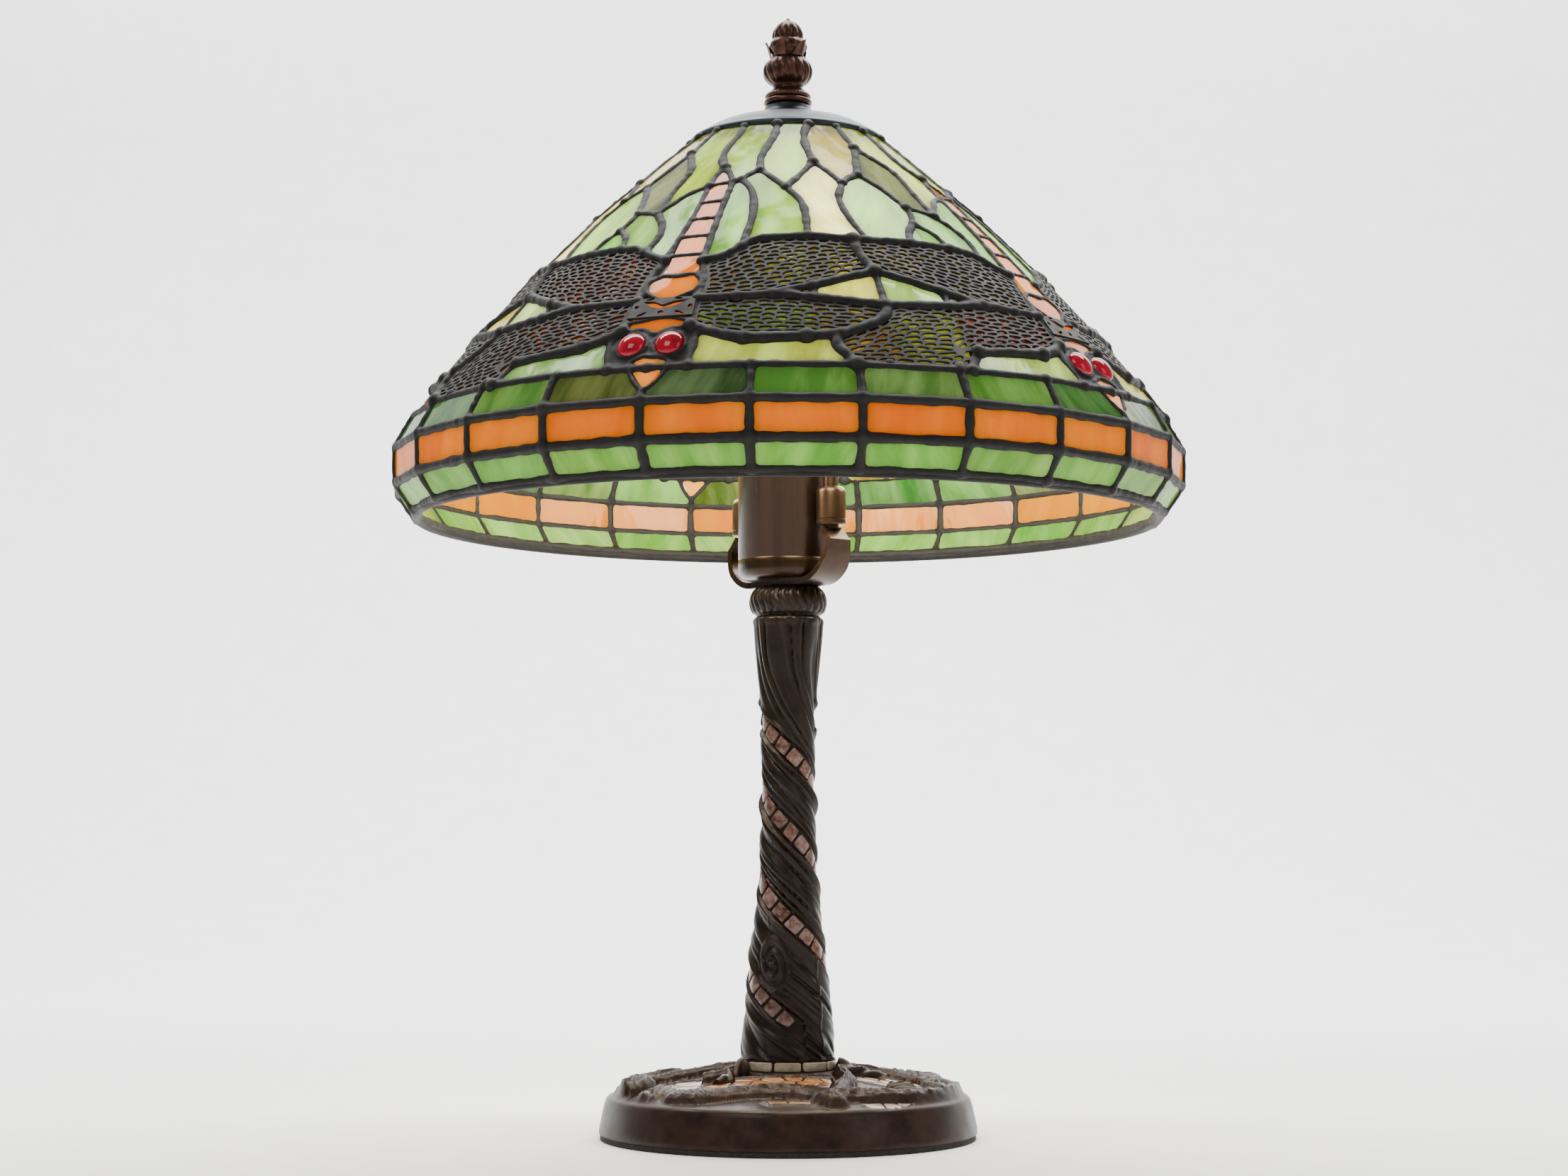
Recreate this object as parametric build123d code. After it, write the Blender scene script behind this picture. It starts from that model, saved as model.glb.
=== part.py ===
from build123d import *
import os
from math import asin, atan2, cos, degrees, hypot, pi, radians, sin

# Stained glass table lamp. Millimetres, +Z up, origin at the centre of the underside of the felt pad.
# Angles run round the vertical axis from the front of the lamp (-Y) toward +X.

# --- driving dimensions ---------------------------------------------------------------------------
FELT_THICKNESS = 2.0
BASE_RADIUS = 72.5
BASE_SHOULDER_RADIUS = 70.0
BASE_SHOULDER_Z = 14.5
BASE_EDGE_RADIUS = 65.0
BASE_EDGE_Z = 17.4
BASE_TOP_RADIUS = 19.0
BASE_TOP_Z = 25.0
BASE_WALL = 4.0
COLLAR_RADIUS = 18.5
COLLAR_Z = 30.5
TUBE_RADIUS = 4.85
TUBE_BORE = 3.3
TUBE_Z = (4.0, 221.0)
STEM_PROFILE = [(18.0, 30.5), (16.9, 44.5), (14.2, 72.0), (11.3, 97.0), (10.1, 130.0), (10.3, 165.0),
                (12.6, 192.0), (13.2, 200.5)]
STEM_KNOP_RADIUS = 14.6
STEM_KNOP_Z = 207.0
STEM_TOP_RADIUS = 12.0
STEM_TOP_Z = 212.2
STEM_WALL = 3.6
SADDLE_THICKNESS = 2.4
SADDLE_ANGLE = 40.0
HARP_FOOT_REACH = 25.6
HARP_FOOT_RADIUS = 3.0
HARP_WIRE_RADIUS = 2.2
SLEEVE_RADIUS = 5.7
SLEEVE_Z = (234.4, 249.2)
CUP_RADIUS = 19.5
CUP_WALL = 1.6
CUP_Z = (STEM_TOP_Z + SADDLE_THICKNESS, 262.0)
BULB_BASE_RADIUS = 12.95
BULB_RADIUS = 30.0
BULB_Z = (227.6, 335.0)
STUD_RADIUS = 3.175
STUD_TOP_Z = 414.0
CAP_SEAT_Z = 399.0
CAP_TOP_Z = 404.0
CAP_RADIUS = 38.8
FINIAL_TOP_Z = 440.0
FIT_GAP = 0.05

# --- the shade: a slightly bulging cone in five equal repeats, above three rows of bricks ----------
REPEATS = 5
REPEAT_ANGLE = 360 / REPEATS
COLUMN_ANGLE = REPEAT_ANGLE / 5
DRAGONFLY_ANGLE = -19.5
DOME_TOP = (37.0, 387.0)
DOME_BOTTOM = (145.5, 274.3)
DOME_BULGE = 4.8
ROWS = [(152.4, 262.2), (152.1, 249.1), (145.5, 239.4)]
GLASS_THICKNESS = 2.8
LEAD_THICKNESS = 3.6
LEAD_WIDTH = 3.0
FINE_LEAD_WIDTH = 1.7
FILIGREE_THICKNESS = 0.8
GLASS_START = 3.0

# Lead lines of one repeat, as (angle from the dragonfly's axis, distance down the slant from the top).
LINES = {
    "cap_1": [(-24.8, GLASS_START), (-24.6, 10), (-24.6, 20)],
    "cap_2": [(-5.8, GLASS_START), (-5, 10), (-6.1, 20), (-5, 29), (-1.7, 36.5)],
    "cap_3": [(13.4, GLASS_START), (13.3, 10), (11.3, 20), (9.8, 30), (10.6, 40)],
    "cap_4": [(30.6, GLASS_START), (27.6, 8), (26.4, 18), (27.8, 34)],
    "fork_left": [(-24.6, 20), (-27.8, 30), (-30.9, 42)],
    "fork_right": [(-24.6, 20), (-18.5, 29), (-14.9, 37), (-14.8, 52), (-14.2, 66)],
    "stone_low": [(-30.9, 42), (-37.2, 49)],
    "stone_side": [(-30.9, 42), (-26, 50), (-21.8, 63)],
    "stone_end": [(-21.8, 63), (-14.2, 66)],
    "arch_stalk": [(-21.8, 63), (-23, 73.7)],
    "arch_left": [(-23, 73.7), (-25.6, 80), (-26.8, 87.4)],
    "arch_right": [(-23, 73.7), (-19.2, 79), (-17.4, 87.6)],
    "leaf_left": [(-14.2, 66), (-10.6, 74), (-9.3, 82), (-10.2, 91.7)],
    "to_tail_left": [(-14.2, 66), (-9, 55), (-3.3, 50)],
    "diamond_left": [(27.8, 34), (23.4, 43), (18.8, 53)],
    "diamond_right": [(27.8, 34), (34.8, 49)],
    "roof_right": [(10.6, 40), (18.8, 53)],
    "roof_left": [(10.6, 40), (5.8, 46.5)],
    "to_tail_right": [(5.8, 46.5), (3.4, 48)],
    "leaf_right": [(5.8, 46.5), (9.8, 56), (11.2, 72), (10.2, 92.3)],
    "pale_left": [(18.8, 53), (22.8, 65), (23.4, 86.2)],
    "pale_right": [(34.8, 49), (32.4, 60), (33.2, 73), (35.6, 87.5)],
    "tail_left_high": [(-1.7, 36.5), (-3.2, 43), (-3.3, 50)],
    "tail_right_high": [(-1.7, 36.5), (1.2, 42), (3.4, 48)],
    "tail_left": [(-3.3, 50), (-3.2, 73), (-4.6, 98)],
    "tail_right": [(3.4, 48), (3.2, 73), (3.4, 100)],
    "wing_ul_1": [(-4.6, 98), (-10.2, 91.7)],
    "wing_ul_2": [(-10.2, 91.7), (-13, 89), (-17.4, 87.6)],
    "wing_ul_3": [(-17.4, 87.6), (-26.8, 87.4)],
    "wing_ul_4": [(-26.8, 87.4), (-36.4, 87.5)],
    "wing_ul_5": [(-36.4, 87.5), (-39.6, 87.6)],
    "wing_ur_1": [(3.4, 100), (7, 98), (10.2, 92.3)],
    "wing_ur_2": [(10.2, 92.3), (13.5, 88), (23.4, 86.2)],
    "wing_ur_3": [(23.4, 86.2), (32.4, 87.6)],
    "wing_ur_4": [(32.4, 87.6), (35.6, 87.5)],
    "tip_high": [(32.4, 87.6), (33, 97), (34.8, 106.5)],
    "under_r_1": [(34.8, 106.5), (23.4, 115.8)],
    "under_r_2": [(23.4, 115.8), (16.8, 120.6)],
    "under_r_3": [(16.8, 120.6), (11, 121.6)],
    "under_r_4": [(11, 121.6), (4.5, 121.8)],
    "under_l_1": [(-37.2, 106.5), (-26, 115.3)],
    "under_l_2": [(-26, 115.3), (-18.6, 120.9)],
    "under_l_3": [(-18.6, 120.9), (-12, 121.6)],
    "under_l_4": [(-12, 121.6), (-6, 121.6)],
    "over_r_1": [(16.8, 120.6), (23.6, 122.6)],
    "over_r_2": [(23.6, 122.6), (34.9, 125.5)],
    "over_l_1": [(-18.6, 120.9), (-25.6, 123.5)],
    "over_l_2": [(-25.6, 123.5), (-37.1, 125.5)],
    "post_seam": [(34.8, 106.5), (34.9, 125.5)],
    "post_right": [(23.4, 115.8), (23.6, 122.6)],
    "post_left": [(-26, 115.3), (-25.6, 123.5)],
    "tip_low": [(34.9, 125.5), (34.3, 131.5), (27.1, 141.5)],
    "low_r_1": [(27.1, 141.5), (22, 143)],
    "low_r_2": [(22, 143), (13, 143.6)],
    "low_r_3": [(13, 143.6), (8.6, 140.6), (4.7, 136.5)],
    "tip_toe": [(27.1, 141.5), (26.2, 147), (28.6, 156.8)],
    "low_l_1": [(-24.4, 147), (-12, 143.8)],
    "low_l_2": [(-12, 143.8), (-8.4, 140.6), (-6.2, 137)],
    "heel": [(-24.4, 147), (-26.8, 156.8)],
    "head_left": [(-6.2, 137), (-7.4, 143), (-6.2, 156.8)],
    "head_right": [(4.7, 136.5), (5.9, 142), (5.6, 156.8)],
    "split_ul_1": [(-10.2, 91.7), (-12, 121.6)],
    "split_ul_2": [(-26.8, 87.4), (-26, 115.3)],
    "split_ur_1": [(10.2, 92.3), (11, 121.6)],
    "split_ur_2": [(23.4, 86.2), (23.4, 115.8)],
    "split_ll_1": [(-12, 121.6), (-12, 143.8)],
    "split_ll_2": [(-25.6, 123.5), (-24.4, 147)],
    "split_ll_3": [(-37.7, 131.5), (-36, 156.8)],
    "split_lr_1": [(11, 121.6), (13, 143.6)],
    "split_lr_2": [(23.6, 122.6), (22, 143)],
    "body_left": [(-4.6, 98), (-6, 121.6)],
    "body_right": [(3.4, 100), (4.5, 121.8)],
    "waist_left": [(-6, 121.6), (-6.2, 137)],
    "waist_right": [(4.5, 121.8), (4.7, 136.5)],
}

# Panes as closed loops of lead lines. "-" runs a line backwards, ">" and "<" take it from the next
# or the previous repeat.
SKY_PANES = [
    ["cap_1", "fork_right", "to_tail_left", "-tail_left_high", "-cap_2"],
    ["cap_2", "tail_right_high", "-to_tail_right", "-roof_left", "-cap_3"],
    ["cap_3", "roof_right", "-diamond_left", "-cap_4"],
    ["cap_4", "diamond_right", ">-stone_low", ">-fork_left", ">-cap_1"],
]
LEAF_PANES = [
    ["fork_left", "stone_side", "stone_end", "-fork_right"],
    ["stone_low", "<pale_right", "-wing_ul_4", "-arch_left", "-arch_stalk", "-stone_side"],
    ["stone_end", "leaf_left", "wing_ul_2", "-arch_right", "-arch_stalk"],
    ["arch_left", "-wing_ul_3", "-arch_right"],
    ["to_tail_left", "tail_left", "wing_ul_1", "-leaf_left"],
    ["to_tail_right", "tail_right", "wing_ur_1", "-leaf_right"],
    ["roof_left", "leaf_right", "wing_ur_2", "-pale_left", "-roof_right"],
    ["diamond_left", "pale_left", "wing_ur_3", "wing_ur_4", "-pale_right", "-diamond_right"],
    ["under_r_2", "over_r_1", "-post_right"],
    ["under_r_1", "post_right", "over_r_2", "-post_seam"],
    ["under_l_1", "post_left", "over_l_2", "<-post_seam"],
    ["under_l_2", "over_l_1", "-post_left"],
    ["low_l_1", "low_l_2", "head_left", "-heel"],
    ["head_right", "-tip_toe", "low_r_1", "low_r_2", "low_r_3"],
]
WING_PANES = [
    ["wing_ul_1", "split_ul_1", "under_l_4", "-body_left"],
    ["wing_ul_2", "wing_ul_3", "split_ul_2", "under_l_2", "under_l_3", "-split_ul_1"],
    ["wing_ul_4", "wing_ul_5", "<tip_high", "under_l_1", "-split_ul_2"],
    ["wing_ur_1", "split_ur_1", "under_r_4", "-body_right"],
    ["wing_ur_2", "split_ur_2", "under_r_2", "under_r_3", "-split_ur_1"],
    ["wing_ur_3", "tip_high", "under_r_1", "-split_ur_2"],
    ["-under_l_4", "split_ll_1", "low_l_2", "-waist_left"],
    ["-under_l_3", "over_l_1", "split_ll_2", "low_l_1", "-split_ll_1"],
    ["over_l_2", "<tip_low_start", "split_ll_3", "-heel", "-split_ll_2"],
    ["<tip_low_end", "<tip_toe", "-split_ll_3"],
    ["-under_r_4", "split_lr_1", "low_r_3", "-waist_right"],
    ["-under_r_3", "over_r_1", "split_lr_2", "low_r_2", "-split_lr_1"],
    ["over_r_2", "tip_low", "low_r_1", "-split_lr_2"],
]
LINES["tip_low_start"] = LINES["tip_low"][:2]
LINES["tip_low_end"] = LINES["tip_low"][1:]

# Rungs across the dragonfly's tail, as (slant at the left side, slant at the right side).
TAIL_RUNGS = [(49.8, 48.3), (62.3, 61.2), (73.2, 72.8), (84.6, 84.0), (96.0, 95.8), (107.6, 107.6)]
TAIL_HALF_ANGLE = 3.1
TAIL_TIP = [(-1.7, 36.5), (1.2, 42), (3.1, 48.3), (-3.0, 49.8), (-3.1, 43)]
THORAX = [(-3.6, 108), (-5.7, 112), (-4.4, 118), (-0.8, 121.4), (2.6, 118.6), (4.3, 113.5), (2.8, 108)]
WAIST = [(-5.9, 122), (4.4, 122), (4.6, 131.6), (-6.0, 131.6)]
SHOULDER = [(-6.0, 132), (4.6, 132), (4.5, 137), (-0.5, 140), (-5.8, 137)]
KITE = [(-0.9, 151.6), (2.8, 155.2), (0.2, 166.5), (-2.7, 155.6)]
EYE_ANGLES = (-3.6, 2.2)
EYE_SLANT = 145.4
EYE_RADIUS = 5.3

# Base mosaic: (first angle, last angle, inner radius, outer radius, tiles round, tiles outward).
AMBER_PATCHES = [(-50, 20, 23, 44, 5, 2), (140, 205, 23, 44, 5, 2), (-7, 9, 55, 60.5, 2, 1)]
BLUSH_PATCHES = [(-74, -54, 40, 58, 2, 2), (-112, -84, 26, 46, 2, 2), (56, 96, 26, 50, 3, 2),
                 (24, 40, 54, 61, 2, 1), (222, 240, 38, 58, 2, 2), (112, 128, 36, 56, 1, 2)]
TILE_THICKNESS = 2.0
TILE_JOINT = 1.0
COLLAR_TILES = 10

# Two spirals of glass tiles down the stem: the height of each centre line after each half turn.
SPIRAL_STARTS = (0, 180)
SPIRAL_HALF_TURNS = (-0.45, 3.03)
SPIRAL_Z = (148.0, -28.0, -2.1)
STEM_TILE = (6.0, 5.4, 2.0)
STEM_TILE_STEP = 7.0


def polar(radius, angle, z):
    """A point at a radius, an angle from the front toward +X, and a height."""
    return Vector(radius * sin(radians(angle)), -radius * cos(radians(angle)), z)


def at_angle(shape, angle):
    """A shape that was drawn in the XZ plane toward +X, turned to a given angle from the front."""
    return Rot(0, 0, angle - 90) * shape


def turned(points, sweep=360, start=0):
    """A solid of revolution from straight-sided (radius, height) points."""
    section = make_face(Polyline(*[(r, 0, z) for r, z in points], close=True))
    return Rot(0, 0, start - 90) * revolve(section, Axis.Z, sweep)


def ring(outer, inner, low, high):
    """A plain tube or washer on the lamp's axis."""
    return turned([(inner, low), (outer, low), (outer, high), (inner, high)])


def save(shape, name):
    """One STEP file per sub-part."""
    export_step(shape, "parts/" + name + ".step")


def group(solids):
    """Several separate solids kept in one node."""
    flat = []
    for solid in solids:
        flat.extend(solid.solids())
    return Compound(children=flat)


# --- felt, base and what is inside it --------------------------------------------------------------
def base_top_z(radius):
    """Height of the low cone on top of the base."""
    slope = (BASE_TOP_Z - BASE_EDGE_Z) / (BASE_EDGE_RADIUS - BASE_TOP_RADIUS)
    return BASE_TOP_Z - slope * (radius - BASE_TOP_RADIUS)


def base_tile(first, last, inner, outer, grow):
    """One mosaic tile on the cone, or its slightly larger pocket."""
    top = 0.3 + grow * 20
    low = -TILE_THICKNESS + 0.3 - grow
    low_r = inner - grow
    high_r = outer + grow
    points = [(low_r, base_top_z(low_r) + low), (high_r, base_top_z(high_r) + low),
              (high_r, base_top_z(high_r) + top), (low_r, base_top_z(low_r) + top)]
    margin = degrees(grow / inner)
    return turned(points, last - first + 2 * margin, first - margin)


def patch_tiles(patches, grow):
    """All tiles of a list of patches, with a joint left between neighbours."""
    tiles = []
    for first, last, inner, outer, around, outward in patches:
        angle_step = (last - first) / around
        radius_step = (outer - inner) / outward
        for j in range(outward):
            low_r = inner + j * radius_step
            high_r = low_r + radius_step - TILE_JOINT
            joint = degrees(TILE_JOINT / high_r)
            for i in range(around):
                start = first + i * angle_step
                tiles.append(base_tile(start, start + angle_step - joint, low_r, high_r, grow))
    return tiles


def collar_tiles(grow):
    """The ring of cream tiles round the collar."""
    step = 360 / COLLAR_TILES
    points = [(COLLAR_RADIUS - 2 - grow, BASE_TOP_Z + 0.5 - grow), (COLLAR_RADIUS, BASE_TOP_Z + 0.5 - grow),
              (COLLAR_RADIUS, COLLAR_Z - 0.6 + grow), (COLLAR_RADIUS - 2 - grow, COLLAR_Z - 0.6 + grow)]
    return [turned(points, step - 4 + 2 * grow, i * step - 7 - grow) for i in range(COLLAR_TILES)]


def base_casting():
    """Hollow round foot with a low cone on top, a collar, and a centre boss for the tube."""
    inner_edge = BASE_EDGE_RADIUS - 3
    points = [(BASE_RADIUS, FELT_THICKNESS), (BASE_RADIUS - 0.2, 4), (BASE_SHOULDER_RADIUS, BASE_SHOULDER_Z),
              (BASE_SHOULDER_RADIUS - 1.6, BASE_EDGE_Z - 0.9), (BASE_EDGE_RADIUS, BASE_EDGE_Z),
              (BASE_TOP_RADIUS, BASE_TOP_Z), (COLLAR_RADIUS - 0.3, BASE_TOP_Z), (COLLAR_RADIUS - 0.3, COLLAR_Z),
              (TUBE_RADIUS + 0.1, COLLAR_Z), (TUBE_RADIUS + 0.1, 9.5), (13, 9.5), (13, BASE_TOP_Z - BASE_WALL),
              (inner_edge, BASE_EDGE_Z - BASE_WALL), (BASE_RADIUS - BASE_WALL - 1, 10),
              (BASE_RADIUS - BASE_WALL, FELT_THICKNESS)]
    body = turned(points)
    pockets = patch_tiles(AMBER_PATCHES, FIT_GAP) + patch_tiles(BLUSH_PATCHES, FIT_GAP) + collar_tiles(FIT_GAP)
    outlet = Pos(0, BASE_RADIUS - 6, 8.5) * Rot(90, 0, 0) * Cylinder(4.45, 20)
    return body - pockets - outlet


def cord_grommet():
    """Bushing of the cord outlet in the back of the foot."""
    body = Cylinder(4.4, 7) + Pos(0, 0, 4.2) * Cylinder(6.0, 1.4)
    body -= Cylinder(3.2, 20)
    return Pos(0, BASE_RADIUS - 3.45, 8.5) * Rot(-90, 0, 0) * body


def hex_nut(across_flats, bore, low, high):
    """A plain hexagonal nut on the lamp's axis."""
    outline = RegularPolygon(across_flats / 2, 6, major_radius=False)
    nut = extrude(outline, high - low)
    return Pos(0, 0, low) * (nut - Cylinder(bore, 4 * (high - low)))


# --- stem --------------------------------------------------------------------------------------------
def stem_radius(z):
    """Radius of the stem's surface at a height, between the points of its outline."""
    for (r0, z0), (r1, z1) in zip(STEM_PROFILE, STEM_PROFILE[1:]):
        if z <= z1:
            return r0 + (r1 - r0) * (z - z0) / (z1 - z0)
    return STEM_PROFILE[-1][0]


def spiral_z(half_turns):
    """Height of a spiral's centre line after a number of half turns."""
    return SPIRAL_Z[0] + SPIRAL_Z[1] * half_turns + SPIRAL_Z[2] * half_turns ** 2


def stem_tile_places():
    """Planes on the stem's surface where the tiles of the two spirals lie."""
    places = []
    for start in SPIRAL_STARTS:
        half_turns = SPIRAL_HALF_TURNS[0]
        while half_turns < SPIRAL_HALF_TURNS[1]:
            z = spiral_z(half_turns)
            radius = stem_radius(z)
            angle = start + 180 * half_turns
            fall = SPIRAL_Z[1] + 2 * SPIRAL_Z[2] * half_turns
            along = Vector(cos(radians(angle)), sin(radians(angle)), fall / (pi * radius))
            outward = polar(1, angle, 0)
            places.append(Plane(origin=polar(radius - 0.9, angle, z), x_dir=along, z_dir=outward))
            half_turns += STEM_TILE_STEP / hypot(pi * radius, fall)
    return places


def stem_tiles(grow):
    """Small flat tiles along the spirals, or their pockets."""
    length, width, thick = STEM_TILE
    return [place * Box(length + 2 * grow, width + 2 * grow, thick + 2 * grow) for place in stem_tile_places()]


def stem_casting():
    """Hollow trunk, narrow in the middle, with a round knop under the socket."""
    with BuildPart() as stem:
        with BuildSketch(Plane.XZ):
            with BuildLine():
                side = Spline(*STEM_PROFILE)
                knop = ThreePointArc(side @ 1, (STEM_KNOP_RADIUS, STEM_KNOP_Z), (STEM_TOP_RADIUS, STEM_TOP_Z))
                bore = TUBE_RADIUS + 0.1
                Polyline(knop @ 1, (bore, STEM_TOP_Z), (bore, 198))
                inner = [(r - STEM_WALL, z) for r, z in STEM_PROFILE[:-2]]
                hollow = Spline((STEM_PROFILE[-2][0] - STEM_WALL - 1, 190), *reversed(inner))
                Line((bore, 198), hollow @ 0)
                Line(hollow @ 1, side @ 0)
            make_face()
        revolve(axis=Axis.Z)
    return stem.part - stem_tiles(FIT_GAP)


# --- socket, saddle and harp -------------------------------------------------------------------------
def socket_cup():
    """Cup that holds the socket, open at the top, with a rounded lower edge."""
    low, high = CUP_Z
    bore = TUBE_RADIUS + 0.1
    with BuildPart() as cup:
        with BuildSketch(Plane.XZ):
            with BuildLine():
                Line((bore, low), (CUP_RADIUS - 4, low))
                RadiusArc((CUP_RADIUS - 4, low), (CUP_RADIUS, low + 4), -4)
                Polyline((CUP_RADIUS, low + 4), (CUP_RADIUS, high), (CUP_RADIUS - CUP_WALL, high),
                         (CUP_RADIUS - CUP_WALL, low + CUP_WALL + 2.4), (13, low + CUP_WALL),
                         (bore, low + CUP_WALL), (bore, low))
            make_face()
        revolve(axis=Axis.Z)
    return cup.part


def socket_liner():
    """Insulating sleeve inside the cup."""
    outer = CUP_RADIUS - CUP_WALL - 0.1
    return ring(outer, outer - 0.9, CUP_Z[0] + CUP_WALL + 3, CUP_Z[1] + 2)


def socket_body():
    """Round moulded floor and wall that carry the metal parts of the socket."""
    points = [(0, 222.0), (14.6, 222.0), (14.6, 250.0), (13.65, 250.0), (13.65, 225.0), (0, 225.0)]
    return turned(points)


def socket_screw_shell():
    """Metal shell that the bulb screws into."""
    return ring(13.6, BULB_BASE_RADIUS + FIT_GAP, 225.1, 249.6)


def socket_contact():
    """Centre contact under the bulb."""
    return ring(4.6, 1.0, 225.1, 227.4)


def terminal_screws():
    """Two screws on the side of the socket body."""
    screws = []
    for angle in (100, 280):
        screw = Pos(15.5, 0, 226) * Rot(0, 90, 0) * Cylinder(2.2, 1.7)
        screws.append(at_angle(screw, angle))
    return screws


def harp_saddle():
    """Strip under the cup whose two arms bow outward and end in round posts."""
    low = STEM_TOP_Z
    half = SADDLE_THICKNESS / 2
    with BuildLine() as path:
        floor = Line((0, low + half), (15, low + half))
        bend = TangentArc(floor @ 1, (29.2, low + 12.6), tangent=(1, 0))
        Polyline(bend @ 1, (29.9, low + 16), (HARP_FOOT_REACH + 0.4, low + 20.6))
    strip = trace(path.line, SADDLE_THICKNESS)
    arm = Rot(90, 0, 0) * extrude(strip, 8, both=True)
    plan = Polyline((-7, low - 2), (7, low - 2), (7, low + 6), (4.8, low + 18), (4.8, low + 30),
                    (-4.8, low + 30), (-4.8, low + 18), (-7, low + 6), close=True)
    taper = extrude(Plane.YZ * make_face(plan), 40)
    arm = arm & taper
    arm += Pos(HARP_FOOT_REACH, 0, low + 24.4) * Cylinder(HARP_FOOT_RADIUS, 7.6)
    saddle = at_angle(arm, SADDLE_ANGLE) + at_angle(arm, SADDLE_ANGLE + 180)
    return saddle - Pos(0, 0, low) * Cylinder(TUBE_RADIUS + 0.1, 20)


def harp_half():
    """One side of the wire loop: a straight foot, then three tangent arcs in to the top."""
    foot_low = STEM_TOP_Z + 28.4
    foot_high = 263.0
    start = (HARP_FOOT_REACH, foot_high)
    flare, flare_radius = 30.0, 50.0
    side_radius = 92.0
    turn_in = 18.0
    hub = 8.0
    p1 = (start[0] + flare_radius * (1 - cos(radians(flare))), start[1] + flare_radius * sin(radians(flare)))
    centre = (p1[0] - side_radius * cos(radians(flare)), p1[1] + side_radius * sin(radians(flare)))
    p2 = (centre[0] + side_radius * cos(radians(turn_in)), centre[1] + side_radius * sin(radians(turn_in)))
    top_radius = (p2[0] - hub) / cos(radians(turn_in))
    top_centre = (hub, p2[1] - top_radius * sin(radians(turn_in)))
    p3 = (hub, top_centre[1] + top_radius)
    arcs = [(start, flare_radius, (start[0] + flare_radius, start[1]), 180 - flare / 2, p1),
            (p1, side_radius, centre, (turn_in - flare) / 2, p2),
            (p2, top_radius, top_centre, (90 + turn_in) / 2, p3)]
    wires = []
    for begin, radius, middle, halfway, end in arcs:
        via = (middle[0] + radius * cos(radians(halfway)), middle[1] + radius * sin(radians(halfway)))
        wires.append(ThreePointArc((begin[0], 0, begin[1]), (via[0], 0, via[1]), (end[0], 0, end[1])))
    path = Wire(wires)
    section = Plane(origin=(start[0], 0, start[1]), z_dir=(0, 0, 1)) * Circle(HARP_WIRE_RADIUS)
    wire = sweep(section, path)
    foot = Pos(start[0], 0, (foot_low + foot_high) / 2) * Cylinder(HARP_FOOT_RADIUS, foot_high - foot_low)
    return foot + wire, p3[1]


def harp_wire():
    """The two halves of the loop, on opposite sides of the lamp's axis."""
    half, _ = harp_half()
    return group([at_angle(half, SADDLE_ANGLE), at_angle(half, SADDLE_ANGLE + 180)])


def harp_stud():
    """Hub that joins the wire's ends, with the seat for the cap and the threaded stud."""
    _, top = harp_half()
    points = [(0, top - 3.2), (7.95, top - 3.2), (7.95, top + 3.2), (4, top + 5), (4, CAP_SEAT_Z - 2.6),
              (7.2, CAP_SEAT_Z - 2.6), (7.2, CAP_SEAT_Z - 0.1), (STUD_RADIUS, CAP_SEAT_Z - 0.1),
              (STUD_RADIUS, STUD_TOP_Z), (0, STUD_TOP_Z)]
    return turned(points)


def harp_sleeve(angle):
    """Sliding ferrule that locks the harp's foot to the saddle's post."""
    low, high = SLEEVE_Z
    with BuildPart() as sleeve:
        with BuildSketch(Plane.XZ):
            with BuildLine():
                bore = HARP_FOOT_RADIUS + FIT_GAP
                Polyline((bore, high), (bore, low), (SLEEVE_RADIUS, low), (SLEEVE_RADIUS, high - 2.2))
                RadiusArc((SLEEVE_RADIUS, high - 2.2), (SLEEVE_RADIUS - 2.2, high), -2.2)
                Line((SLEEVE_RADIUS - 2.2, high), (bore, high))
            make_face()
        revolve(axis=Axis.Z)
    return at_angle(Pos(HARP_FOOT_REACH, 0, 0) * sleeve.part, angle)


# --- bulb ---------------------------------------------------------------------------------------------
def bulb_base():
    """Screw shell of the bulb with its centre button."""
    low = BULB_Z[0]
    points = [(0, low), (4.5, low), (5.5, low + 1.4), (11.0, low + 3.4), (BULB_BASE_RADIUS, low + 5.4),
              (BULB_BASE_RADIUS, low + 24.0), (0, low + 24.0)]
    return turned(points)


def bulb_glass():
    """Pear-shaped envelope above the screw shell."""
    neck_z = BULB_Z[0] + 24.05
    centre_z = BULB_Z[1] - BULB_RADIUS
    with BuildPart() as glass:
        with BuildSketch(Plane.XZ):
            with BuildLine():
                Line((0, neck_z), (12.6, neck_z))
                neck = Spline((12.6, neck_z), (14.6, neck_z + 14), (BULB_RADIUS, centre_z),
                              tangents=[(0, 1), (0, 1)])
                RadiusArc(neck @ 1, (0, BULB_Z[1]), -BULB_RADIUS)
                Line((0, BULB_Z[1]), (0, neck_z))
            make_face()
        revolve(axis=Axis.Z)
    return glass.part


# --- shade --------------------------------------------------------------------------------------------
def dome_arc():
    """Centre, radius and half angle of the arc that the side of the shade follows."""
    run = DOME_BOTTOM[0] - DOME_TOP[0]
    drop = DOME_BOTTOM[1] - DOME_TOP[1]
    chord = hypot(run, drop)
    radius = (chord ** 2 / 4 + DOME_BULGE ** 2) / (2 * DOME_BULGE)
    half = asin(chord / 2 / radius)
    along = (run / chord, drop / chord)
    normal = (-along[1], along[0])
    middle = ((DOME_TOP[0] + DOME_BOTTOM[0]) / 2, (DOME_TOP[1] + DOME_BOTTOM[1]) / 2)
    centre = (middle[0] - normal[0] * (radius - DOME_BULGE), middle[1] - normal[1] * (radius - DOME_BULGE))
    return centre, radius, half, along, normal


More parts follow.
